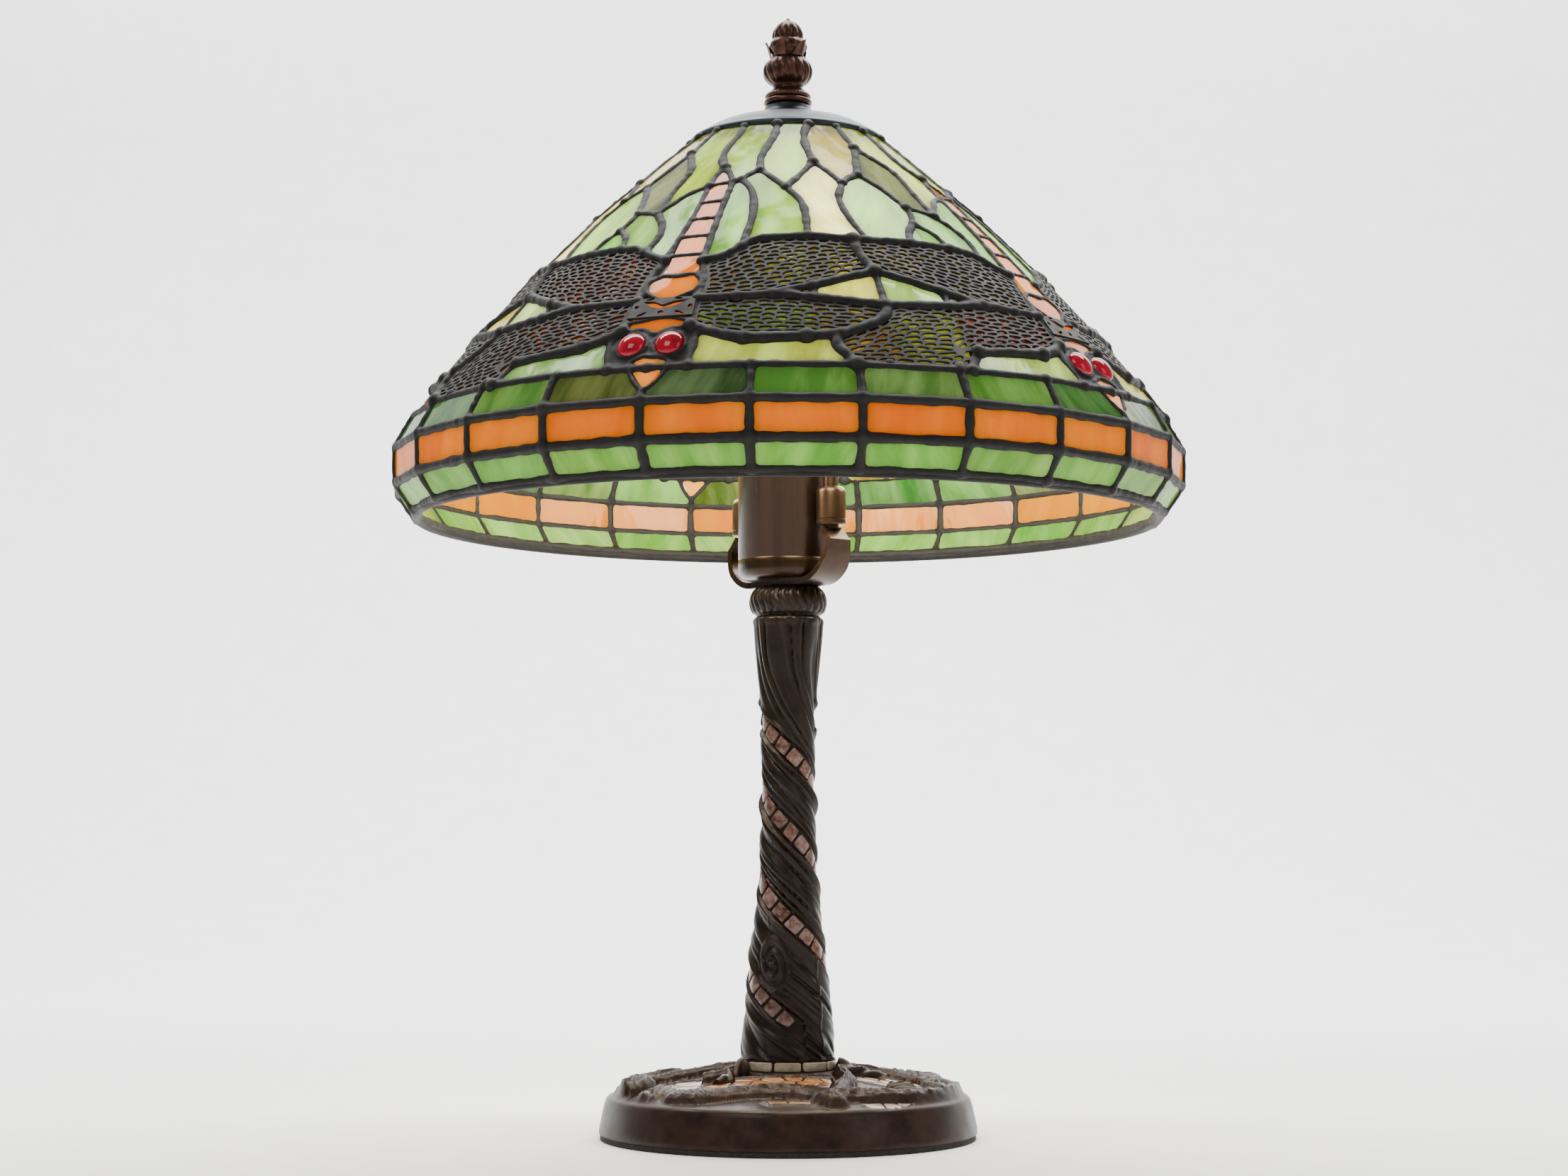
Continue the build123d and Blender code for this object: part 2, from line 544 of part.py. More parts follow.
ARC_CENTRE, ARC_RADIUS, ARC_HALF, ARC_ALONG, ARC_NORMAL = dome_arc()
DOME_LENGTH = 2 * ARC_RADIUS * ARC_HALF


def section_point(slant, lift=0.0):
    """(radius, height) at a distance down the slant, lifted off the middle surface."""
    if slant <= DOME_LENGTH:
        turn = (2 * slant / DOME_LENGTH - 1) * ARC_HALF
        reach = ARC_RADIUS + lift
        r = ARC_CENTRE[0] + reach * (ARC_NORMAL[0] * cos(turn) + ARC_ALONG[0] * sin(turn))
        z = ARC_CENTRE[1] + reach * (ARC_NORMAL[1] * cos(turn) + ARC_ALONG[1] * sin(turn))
        return r, z
    left = slant - DOME_LENGTH
    start = DOME_BOTTOM
    for end in ROWS:
        length = hypot(end[0] - start[0], end[1] - start[1])
        if left <= length or end is ROWS[-1]:
            share = left / length
            normal = ((start[1] - end[1]) / length, (end[0] - start[0]) / length)
            r = start[0] + (end[0] - start[0]) * share + normal[0] * lift
            z = start[1] + (end[1] - start[1]) * share + normal[1] * lift
            return r, z
        left -= length
        start = end


def row_slants():
    """Slant distances of the edges of the three brick rows."""
    edges = [DOME_LENGTH]
    start = DOME_BOTTOM
    for end in ROWS:
        edges.append(edges[-1] + hypot(end[0] - start[0], end[1] - start[1]))
        start = end
    return edges


def loop_points(loop):
    """The (angle, slant) points round a pane."""
    points = []
    for name in loop:
        shift = {">": REPEAT_ANGLE, "<": -REPEAT_ANGLE}.get(name[0], 0)
        name = name.lstrip("<>")
        line = LINES[name.lstrip("-")]
        if name.startswith("-"):
            line = line[::-1]
        line = [(angle + shift, slant) for angle, slant in line]
        if points and hypot(points[-1][0] - line[0][0], points[-1][1] - line[0][1]) < 0.05:
            line = line[1:]
        points.extend(line)
    if hypot(points[-1][0] - points[0][0], points[-1][1] - points[0][1]) < 0.05:
        points.pop()
    return points


def pane_plane(points):
    """The plane that lies best on the shade's surface under a pane, with its outline in that plane."""
    corners = [polar(section_point(s)[0], DRAGONFLY_ANGLE + a, section_point(s)[1]) for a, s in points]
    middle = sum(corners, Vector(0, 0, 0)) * (1 / len(corners))
    normal = Vector(0, 0, 0)
    for here, there in zip(corners, corners[1:] + corners[:1]):
        normal += (here - middle).cross(there - middle)
    if normal.dot(Vector(middle.X, middle.Y, 0)) < 0:
        normal = normal * -1
    plane = Plane(origin=middle, z_dir=normal.normalized())
    flat = [plane.to_local_coords(corner) for corner in corners]
    return plane, [(p.X, p.Y) for p in flat]


def drawn_in(outline, inset):
    """A polygon with every side moved inward, and sharp corners kept from running away."""
    area = sum(a[0] * b[1] - b[0] * a[1] for a, b in zip(outline, outline[1:] + outline[:1]))
    if area < 0:
        outline = outline[::-1]
    corners = []
    for before, here, after in zip(outline[-1:] + outline[:-1], outline, outline[1:] + outline[:1]):
        into = Vector(here[0] - before[0], here[1] - before[1]).normalized()
        away = Vector(after[0] - here[0], after[1] - here[1]).normalized()
        bisector = Vector(-into.Y - away.Y, into.X + away.X)
        length = max(bisector.length / 2, 0.45)
        shift = bisector.normalized() * (inset / length)
        corners.append((here[0] + shift.X, here[1] + shift.Y))
    return corners


def plate(points, inset, low, high):
    """A flat plate with a pane's outline, drawn in from the lead line, between two levels."""
    plane, outline = pane_plane(points)
    face = make_face(Polyline(*drawn_in(outline, inset), close=True))
    return plane * Pos(0, 0, low) * extrude(face, high - low, dir=(0, 0, 1))


def brick_points(column, row):
    """Outline of one brick, with the corner beside the dragonfly's nose cut off."""
    edges = row_slants()
    top, low = edges[row], edges[row + 1]
    left = column * COLUMN_ANGLE
    right = left + COLUMN_ANGLE
    if row == 0 and column == -1:
        return [(left, top), (-3.6, top), (0, 167.5), (0, low), (left, low)]
    if row == 0 and column == 0:
        return [(3.6, top), (right, top), (right, low), (0, low), (0, 167.5)]
    return [(left, top), (right, top), (right, low), (left, low)]


def brick_row(row):
    """Outlines of the five bricks of one repeat of a row."""
    return [brick_points(column, row) for column in range(-2, 3)]


def tail_panes():
    """Outlines of the dragonfly's tail, thorax and shoulders."""
    outlines = [TAIL_TIP]
    half = TAIL_HALF_ANGLE
    for (left, right), (next_left, next_right) in zip(TAIL_RUNGS, TAIL_RUNGS[1:]):
        outlines.append([(-half, left), (half, right), (half, next_right), (-half, next_left)])
    return outlines + [THORAX, WAIST, SHOULDER]


def eye(grow):
    """Round cabochon of a dragonfly's eye, or its pocket, at one side of the head."""
    eyes = []
    for angle in EYE_ANGLES:
        r, z = section_point(EYE_SLANT)
        outer_r, outer_z = section_point(EYE_SLANT, 10)
        axis = polar(outer_r, DRAGONFLY_ANGLE + angle, outer_z) - polar(r, DRAGONFLY_ANGLE + angle, z)
        place = Plane(origin=polar(r, DRAGONFLY_ANGLE + angle, z), z_dir=axis.normalized())
        if grow:
            eyes.append(place * Cylinder(EYE_RADIUS + grow, 14))
        else:
            stone = Cylinder(EYE_RADIUS, 3.2)
            cap_radius = (EYE_RADIUS ** 2 + 9) / 6
            cap = Pos(0, 0, 1.6 + 3 - cap_radius) * Sphere(cap_radius)
            cap = cap & Pos(0, 0, 1.6 + 4) * Cylinder(EYE_RADIUS, 8)
            eyes.append(place * (stone + cap))
    return eyes


def repeated(solids):
    """The same solids in all five repeats of the shade."""
    copies = []
    for k in range(REPEATS):
        copies.extend(Rot(0, 0, k * REPEAT_ANGLE) * solid for solid in solids)
    return copies


def panes(outlines, lead_width=LEAD_WIDTH):
    """Flat glass plates for a list of outlines."""
    half = GLASS_THICKNESS / 2
    return [plate(points, lead_width / 2, -half, half) for points in outlines]


def filigree():
    """Thin metal overlay on each wing pane and on the dragonfly's waist."""
    low = GLASS_THICKNESS / 2 + FIT_GAP
    outlines = [loop_points(loop) for loop in WING_PANES]
    return [plate(points, 0.6, low, low + FILIGREE_THICKNESS) for points in outlines + [WAIST]]


def windows(outlines, lead_width):
    """Openings in the leading, a little larger than the panes."""
    return [plate(points, lead_width / 2 - FIT_GAP, -9, 9) for points in outlines]


def leading():
    """One fifth of the soldered leading: a shell with an opening for each piece of glass."""
    half = LEAD_THICKNESS / 2
    slants = [GLASS_START - 0.4] + [DOME_LENGTH * i / 8 for i in range(1, 9)] + row_slants()[1:]
    outer = [section_point(s, half) for s in slants]
    inner = [section_point(s, -half) for s in slants]
    start = DRAGONFLY_ANGLE - REPEAT_ANGLE / 2
    shell = turned(outer + inner[::-1], REPEAT_ANGLE, start)
    wide = [loop_points(loop) for loop in SKY_PANES + LEAF_PANES + WING_PANES]
    wide += brick_row(0) + brick_row(1) + brick_row(2)
    tools = windows(wide, LEAD_WIDTH) + windows(tail_panes() + [KITE], FINE_LEAD_WIDTH) + eye(FIT_GAP)
    low = GLASS_THICKNESS / 2
    wings = [loop_points(loop) for loop in WING_PANES] + [WAIST]
    tools += [plate(points, 0.6 - FIT_GAP, low, low + 8) for points in wings]
    nearby = []
    for shift in (-1, 0, 1):
        for tool in tools:
            moved = Rot(0, 0, shift * REPEAT_ANGLE) * tool
            centre = moved.center()
            angle = degrees(atan2(centre.X, -centre.Y)) - DRAGONFLY_ANGLE
            angle = (angle + 180) % 360 - 180
            if abs(angle) < REPEAT_ANGLE / 2 + 14:
                nearby.append(moved)
    return shell - nearby


def shade_rim():
    """Wire soldered round the lower edge of the glass."""
    r, z = ROWS[-1]
    return Pos(0, 0, z - 1.55) * Torus(r - 1.0, 1.5)


def shade_top_ring():
    """Ring soldered inside the top of the glass, under the cap."""
    edge = -LEAD_THICKNESS / 2 - 0.15
    high = section_point(GLASS_START, edge)
    low = section_point(GLASS_START + 7, edge)
    return turned([(33.6, 387.3), (35.6, 387.3), (35.9, high[1] + 0.6), high, low, (low[0] - 2.4, low[1])])


def shade_cap():
    """Turned cap: a rolled lip, a low dome, and a flare up into the boss that sits on the harp."""
    lip_z = 386.4
    with BuildPart() as cap:
        with BuildSketch(Plane.XZ):
            with BuildLine():
                bore = STUD_RADIUS + 0.25
                Polyline((bore, CAP_TOP_Z), (bore, CAP_SEAT_Z), (8.2, CAP_SEAT_Z), (9.2, CAP_SEAT_Z - 1.5))
                ThreePointArc((9.2, CAP_SEAT_Z - 1.5), (15.0, 397.0), (21.0, 395.9))
                ThreePointArc((21.0, 395.9), (30.2, 392.6), (36.4, 387.5))
                Line((36.4, 387.5), (36.9, lip_z))
                RadiusArc((36.9, lip_z), (CAP_RADIUS, lip_z), -1.0)
                Polyline((CAP_RADIUS, lip_z), (CAP_RADIUS, 388.4), (38.0, 389.2))
                ThreePointArc((38.0, 389.2), (31.0, 394.2), (21.4, 397.4))
                ThreePointArc((21.4, 397.4), (13.6, 399.2), (10.2, 401.6))
                Polyline((10.2, 401.6), (9.0, CAP_TOP_Z), (bore, CAP_TOP_Z))
            make_face()
        revolve(axis=Axis.Z)
    return cap.part


# --- finial -------------------------------------------------------------------------------------------
def finial_casting():
    """Turned outline of the finial: foot ring, waist, ball, neck and pointed bud."""
    low = CAP_TOP_Z + 0.1
    bore = 5.0 + FIT_GAP
    with BuildPart() as finial:
        with BuildSketch(Plane.XZ):
            with BuildLine():
                Polyline((0, FINIAL_TOP_Z), (0, 415.5), (bore, 415.5), (bore, low), (8.2, low))
                ThreePointArc((8.2, low), (9.1, 406.8), (7.8, 409.5))
                ThreePointArc((7.8, 409.5), (6.1, 412.6), (8.2, 415.4))
                ThreePointArc((8.2, 415.4), (9.7, 419.2), (7.8, 423.0))
                ThreePointArc((7.8, 423.0), (6.5, 425.7), (7.1, 428.0))
                ThreePointArc((7.1, 428.0), (7.7, 430.0), (6.4, 431.8))
                ThreePointArc((6.4, 431.8), (5.2, 436.4), (0.6, FINIAL_TOP_Z - 0.1))
                Line((0.6, FINIAL_TOP_Z - 0.1), (0, FINIAL_TOP_Z))
            make_face()
        revolve(axis=Axis.Z)
    return finial.part


def finial_insert():
    """Threaded bush pressed into the finial, on the harp's stud."""
    return ring(5.0, STUD_RADIUS + FIT_GAP, CAP_TOP_Z + 0.1, 413.6)


os.makedirs("parts", exist_ok=True)
save(Pos(0, 0, FELT_THICKNESS / 2) * Cylinder(BASE_RADIUS - 0.5, FELT_THICKNESS), "base_felt")
save(base_casting(), "base_casting")
save(group(patch_tiles(AMBER_PATCHES, 0)), "base_tiles_amber")
save(group(patch_tiles(BLUSH_PATCHES, 0)), "base_tiles_blush")
save(group(collar_tiles(0)), "collar_tiles")
save(cord_grommet(), "cord_grommet")
save(hex_nut(19, TUBE_RADIUS + 0.05, 4.4, 8.0), "base_nut")
save(ring(12.5, TUBE_RADIUS + 0.2, 8.0, 9.5), "base_washer")
save(ring(TUBE_RADIUS, TUBE_BORE, *TUBE_Z), "threaded_tube")
save(stem_casting(), "stem_casting")
save(group(stem_tiles(0)), "stem_tiles")
save(harp_saddle(), "harp_saddle")
save(socket_cup(), "socket_cup")
save(hex_nut(14, TUBE_RADIUS + 0.05, CUP_Z[0] + CUP_WALL, CUP_Z[0] + CUP_WALL + 3), "cup_nut")
save(socket_liner(), "socket_liner")
save(socket_body(), "socket_body")
save(socket_screw_shell(), "socket_screw_shell")
save(socket_contact(), "socket_contact")
save(group(terminal_screws()), "terminal_screws")
save(harp_wire(), "harp_wire")
save(harp_stud(), "harp_stud")
save(harp_sleeve(SADDLE_ANGLE), "harp_sleeve_front")
save(harp_sleeve(SADDLE_ANGLE + 180), "harp_sleeve_back")
save(bulb_base(), "bulb_base")
save(bulb_glass(), "bulb_glass")
save(group(repeated(panes([loop_points(loop) for loop in SKY_PANES]))), "glass_upper")
save(group(repeated(panes([loop_points(loop) for loop in LEAF_PANES]))), "glass_background")
save(group(repeated(panes([loop_points(loop) for loop in WING_PANES]))), "glass_wings")
save(group(repeated(panes(brick_row(0)))), "glass_bricks_green")
save(group(repeated(panes(brick_row(1)))), "glass_bricks_amber")
save(group(repeated(panes(brick_row(2)))), "glass_bricks_hem")
save(group(repeated(panes(tail_panes(), FINE_LEAD_WIDTH))), "dragonfly_bodies")
save(group(repeated(panes([KITE], FINE_LEAD_WIDTH))), "dragonfly_noses")
save(group(repeated(eye(0))), "dragonfly_eyes")
save(group(repeated(filigree())), "wing_filigree")
save(group(repeated([leading()])), "shade_leading")
save(shade_rim(), "shade_rim")
save(shade_top_ring(), "shade_top_ring")
save(shade_cap(), "shade_cap")
save(finial_casting(), "finial_casting")
save(finial_insert(), "finial_insert")
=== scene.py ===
import random
from math import asin, atan2, cos, degrees, hypot, pi, radians, sin, sqrt

import bpy
import numpy as np
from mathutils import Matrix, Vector, noise
from mathutils.geometry import delaunay_2d_cdt


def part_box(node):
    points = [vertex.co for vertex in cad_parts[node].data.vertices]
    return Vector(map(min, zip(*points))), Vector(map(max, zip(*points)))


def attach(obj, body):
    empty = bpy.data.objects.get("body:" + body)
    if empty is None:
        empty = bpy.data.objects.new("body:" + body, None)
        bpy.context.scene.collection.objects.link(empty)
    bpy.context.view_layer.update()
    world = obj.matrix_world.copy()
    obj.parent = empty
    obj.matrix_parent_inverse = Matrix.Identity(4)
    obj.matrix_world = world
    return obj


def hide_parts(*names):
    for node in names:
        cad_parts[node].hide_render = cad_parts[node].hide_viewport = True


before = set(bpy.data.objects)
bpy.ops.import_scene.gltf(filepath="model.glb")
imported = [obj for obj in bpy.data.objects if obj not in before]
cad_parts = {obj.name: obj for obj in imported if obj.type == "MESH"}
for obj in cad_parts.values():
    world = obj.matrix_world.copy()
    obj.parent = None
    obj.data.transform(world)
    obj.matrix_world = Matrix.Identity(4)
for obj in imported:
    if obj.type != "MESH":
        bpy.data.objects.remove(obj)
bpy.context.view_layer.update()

MM = 0.001

camera = bpy.data.cameras.new("camera")
camera.lens = 63.1
camera.sensor_width = 36.0
view = bpy.data.objects.new("camera", camera)
view.location = (-0.004, -1.07, 0.1115)
view.rotation_euler = (radians(90 + 5.36), 0, radians(-0.13))
bpy.context.scene.collection.objects.link(view)
bpy.context.scene.camera = view

# --- sizes shared with the CAD, in millimetres -------------------------------------------------------
REPEATS = 5
REPEAT_ANGLE = 360 / REPEATS
COLUMN_ANGLE = REPEAT_ANGLE / 5
DRAGONFLY_ANGLE = -19.5
DOME_TOP = (37.0, 387.0)
DOME_BOTTOM = (145.5, 274.3)
DOME_BULGE = 4.8
ROWS = [(152.4, 262.2), (152.1, 249.1), (145.5, 239.4)]
GLASS_START = 2.0
GLASS_HALF = 1.3
SPIRAL_Z = (148.0, -28.0, -2.1)
BAND_HALF_TURNS = (-0.53, 3.12)
BAND_STARTS = (0, 1)

# Lead lines of one repeat: (angle from the dragonfly's axis, distance down the slant).
LINES = {
    "cap_1": [(-24.8, GLASS_START), (-24.6, 10), (-24.6, 20)],
    "cap_2": [(-5.8, GLASS_START), (-5, 10), (-6.1, 20), (-5, 29), (-1.7, 36.5)],
    "cap_3": [(13.4, GLASS_START), (13.3, 10), (11.3, 20), (9.8, 30), (10.6, 40)],
    "cap_4": [(30.6, GLASS_START), (27.6, 8), (26.4, 18), (27.8, 34)],
    "fork_left": [(-24.6, 20), (-27.8, 30), (-30.9, 42)],
    "fork_right": [(-24.6, 20), (-18.5, 29), (-14.9, 37), (-14.8, 52), (-14.2, 66)],
    "stone_low": [(-30.9, 42), (-34.4, 45), (-37.2, 49)],
    "stone_side": [(-30.9, 42), (-26, 50), (-21.8, 63)],
    "stone_end": [(-21.8, 63), (-18, 64), (-14.2, 66)],
    "arch_stalk": [(-21.8, 63), (-22, 68), (-23, 73.7)],
    "arch_left": [(-23, 73.7), (-25.6, 80), (-26.8, 87.4)],
    "arch_right": [(-23, 73.7), (-19.2, 79), (-17.4, 87.6)],
    "leaf_left": [(-14.2, 66), (-10.6, 74), (-9.3, 82), (-10.2, 91.7)],
    "to_tail_left": [(-14.2, 66), (-9, 55), (-3.3, 50)],
    "diamond_left": [(27.8, 34), (23.4, 43), (18.8, 53)],
    "diamond_right": [(27.8, 34), (31.6, 41), (34.8, 49)],
    "roof_right": [(10.6, 40), (14.6, 46), (18.8, 53)],
    "roof_left": [(10.6, 40), (8.2, 42.6), (5.8, 46.5)],
    "to_tail_right": [(5.8, 46.5), (3.4, 48)],
    "leaf_right": [(5.8, 46.5), (9.8, 56), (11.2, 72), (10.2, 92.3)],
    "pale_left": [(18.8, 53), (22.8, 65), (23.4, 86.2)],
    "pale_right": [(34.8, 49), (32.4, 60), (33.2, 73), (35.6, 87.5)],
    "tail_left_high": [(-1.7, 36.5), (-3.2, 43), (-3.3, 50)],
    "tail_right_high": [(-1.7, 36.5), (1.2, 42), (3.4, 48)],
    "tail_left": [(-3.3, 50), (-3.2, 73), (-4.6, 98)],
    "tail_right": [(3.4, 48), (3.2, 73), (3.4, 100)],
    "wing_ul_1": [(-4.6, 98), (-7.6, 95.4), (-10.2, 91.7)],
    "wing_ul_2": [(-10.2, 91.7), (-13, 89), (-17.4, 87.6)],
    "wing_ul_3": [(-17.4, 87.6), (-26.8, 87.4)],
    "wing_ul_4": [(-26.8, 87.4), (-36.4, 87.5)],
    "wing_ul_5": [(-36.4, 87.5), (-39.6, 87.6)],
    "wing_ur_1": [(3.4, 100), (7, 98), (10.2, 92.3)],
    "wing_ur_2": [(10.2, 92.3), (13.5, 88), (23.4, 86.2)],
    "wing_ur_3": [(23.4, 86.2), (32.4, 87.6)],
    "wing_ur_4": [(32.4, 87.6), (35.6, 87.5)],
    "tip_high": [(32.4, 87.6), (33, 97), (34.8, 106.5)],
    "under_r_1": [(34.8, 106.5), (29, 111), (23.4, 115.8)],
    "under_r_2": [(23.4, 115.8), (16.8, 120.6)],
    "under_r_3": [(16.8, 120.6), (11, 121.6)],
    "under_r_4": [(11, 121.6), (4.5, 121.8)],
    "under_l_1": [(-37.2, 106.5), (-31.6, 110.6), (-26, 115.3)],
    "under_l_2": [(-26, 115.3), (-18.6, 120.9)],
    "under_l_3": [(-18.6, 120.9), (-12, 121.6)],
    "under_l_4": [(-12, 121.6), (-6, 121.6)],
    "over_r_1": [(16.8, 120.6), (23.6, 122.6)],
    "over_r_2": [(23.6, 122.6), (34.9, 125.5)],
    "over_l_1": [(-18.6, 120.9), (-25.6, 123.5)],
    "over_l_2": [(-25.6, 123.5), (-37.1, 125.5)],
    "post_seam": [(34.8, 106.5), (34.9, 125.5)],
    "post_right": [(23.4, 115.8), (23.6, 122.6)],
    "post_left": [(-26, 115.3), (-25.6, 123.5)],
    "tip_low_start": [(34.9, 125.5), (34.3, 131.5)],
    "tip_low_end": [(34.3, 131.5), (31, 137), (27.1, 141.5)],
    "low_r_1": [(27.1, 141.5), (22, 143)],
    "low_r_2": [(22, 143), (13, 143.6)],
    "low_r_3": [(13, 143.6), (8.6, 140.6), (4.7, 136.5)],
    "tip_toe": [(27.1, 141.5), (26.2, 147), (28.6, 156.8)],
    "low_l_1": [(-24.4, 147), (-18, 145.2), (-12, 143.8)],
    "low_l_2": [(-12, 143.8), (-8.4, 140.6), (-6.2, 137)],
    "heel": [(-24.4, 147), (-26.8, 156.8)],
    "head_left": [(-6.2, 137), (-7.4, 143), (-6.2, 156.8)],
    "head_right": [(4.7, 136.5), (5.9, 142), (5.6, 156.8)],
    "split_ul_1": [(-10.2, 91.7), (-12, 121.6)],
    "split_ul_2": [(-26.8, 87.4), (-26, 115.3)],
    "split_ur_1": [(10.2, 92.3), (11, 121.6)],
    "split_ur_2": [(23.4, 86.2), (23.4, 115.8)],
    "split_ll_1": [(-12, 121.6), (-12, 143.8)],
    "split_ll_2": [(-25.6, 123.5), (-24.4, 147)],
    "split_ll_3": [(-37.7, 131.5), (-36, 156.8)],
    "split_lr_1": [(11, 121.6), (13, 143.6)],
    "split_lr_2": [(23.6, 122.6), (22, 143)],
    "body_left": [(-4.6, 98), (-5.8, 112), (-6, 121.6)],
    "body_right": [(3.4, 100), (4.9, 112), (4.5, 121.8)],
    "waist_left": [(-6, 121.6), (-6.2, 137)],
    "waist_right": [(4.5, 121.8), (4.7, 136.5)],
}
LINES["tip_low"] = LINES["tip_low_start"] + LINES["tip_low_end"][1:]

# Half width of the solder on each family of lines; what isn't named has the plain width.
PLAIN_LEAD = 1.95
LEAD_WIDTHS = {"cap_": 2.05, "wing_": 2.1, "under_": 2.3, "over_": 2.3, "low_": 2.6, "tip_": 2.7,
               "body_": 1.9, "waist_": 1.9, "head_": 2.3, "heel": 2.5, "tail_": 1.75, "post_": 1.95}
ROW_LEAD = 2.05
MELT_VOXEL = 0.0007

# Panes as closed loops of lines, each with its colour family.
PANES = {
    "glass_upper": [
        (["cap_1", "fork_right", "to_tail_left", "-tail_left_high", "-cap_2"], "sky"),
        (["cap_2", "tail_right_high", "-to_tail_right", "-roof_left", "-cap_3"], "sky"),
        (["cap_3", "roof_right", "-diamond_left", "-cap_4"], "sky"),
        (["cap_4", "diamond_right", ">-stone_low", ">-fork_left", ">-cap_1"], "honey"),
    ],
    "glass_background": [
        (["fork_left", "stone_side", "stone_end", "-fork_right"], "moss"),
        (["stone_low", "<pale_right", "-wing_ul_4", "-arch_left", "-arch_stalk", "-stone_side"],
         "leaf"),
        (["stone_end", "leaf_left", "wing_ul_2", "-arch_right", "-arch_stalk"], "mint"),
        (["arch_left", "-wing_ul_3", "-arch_right"], "leaf"),
        (["to_tail_left", "tail_left", "wing_ul_1", "-leaf_left"], "leaf"),
        (["to_tail_right", "tail_right", "wing_ur_1", "-leaf_right"], "leaf"),
        (["roof_left", "leaf_right", "wing_ur_2", "-pale_left", "-roof_right"], "leaf"),
        (["diamond_left", "pale_left", "wing_ur_3", "wing_ur_4", "-pale_right", "-diamond_right"],
         "pale"),
        (["under_r_2", "over_r_1", "-post_right"], "peach"),
        (["under_r_1", "post_right", "over_r_2", "-post_seam"], "cream"),
        (["under_l_1", "post_left", "over_l_2", "<-post_seam"], "mint"),
        (["under_l_2", "over_l_1", "-post_left"], "mist"),
        (["low_l_1", "low_l_2", "head_left", "-heel"], "mint"),
        (["head_right", "-tip_toe", "low_r_1", "low_r_2", "low_r_3"], "cream"),
    ],
    "glass_wings": [
        (["wing_ul_1", "split_ul_1", "under_l_4", "-body_left"], "wing_left"),
        (["wing_ul_2", "wing_ul_3", "split_ul_2", "under_l_2", "under_l_3", "-split_ul_1"],
         "wing_left"),
        (["wing_ul_4", "wing_ul_5", "<tip_high", "under_l_1", "-split_ul_2"], "wing_left"),
        (["wing_ur_1", "split_ur_1", "under_r_4", "-body_right"], "wing"),
        (["wing_ur_2", "split_ur_2", "under_r_2", "under_r_3", "-split_ur_1"], "wing"),
        (["wing_ur_3", "tip_high", "under_r_1", "-split_ur_2"], "wing"),
        (["-under_l_4", "split_ll_1", "low_l_2", "-waist_left"], "wing_left"),
        (["-under_l_3", "over_l_1", "split_ll_2", "low_l_1", "-split_ll_1"], "wing_left"),
        (["over_l_2", "<tip_low_start", "split_ll_3", "-heel", "-split_ll_2"], "wing_left"),
        (["<tip_low_end", "<tip_toe", "-split_ll_3"], "wing_left"),
        (["-under_r_4", "split_lr_1", "low_r_3", "-waist_right"], "wing"),
        (["-under_r_3", "over_r_1", "split_lr_2", "low_r_2", "-split_lr_1"], "wing"),
        (["over_r_2", "tip_low", "low_r_1", "-split_lr_2"], "wing"),
    ],
}
TAIL_RUNGS = [(49.8, 48.3), (62.3, 61.2), (73.2, 72.8), (84.6, 84.0), (96.0, 95.8), (107.6, 107.6)]
TAIL_HALF_ANGLE = 3.1
TAIL_TIP = [(-1.7, 36.5), (1.2, 42), (3.1, 48.3), (-3.0, 49.8), (-3.1, 43)]
THORAX = [(-3.2, 107.8), (-5.5, 112), (-4.4, 118), (-0.8, 121.8), (2.8, 118.6), (4.4, 113),
          (2.6, 107.8),
          (-0.4, 108.8)]
WAIST = [(-6, 121.6), (4.5, 121.8), (4.7, 131.8), (-6.1, 131.8)]
SHOULDER = [(-6.1, 133.6), (-3, 132.6), (-0.6, 131.4), (2.2, 132.4), (4.6, 134), (4.4, 137.2),
            (1.5, 137.4),
            (-0.5, 140), (-2.6, 137.4), (-5.8, 137.6)]
KITE = [(-0.9, 151.0), (3.0, 154.8), (0.2, 166.5), (-3.0, 155.4)]
EYE_ANGLES = (-3.6, 2.2)
EYE_SLANT = 145.4
EYE_RADIUS = 5.3

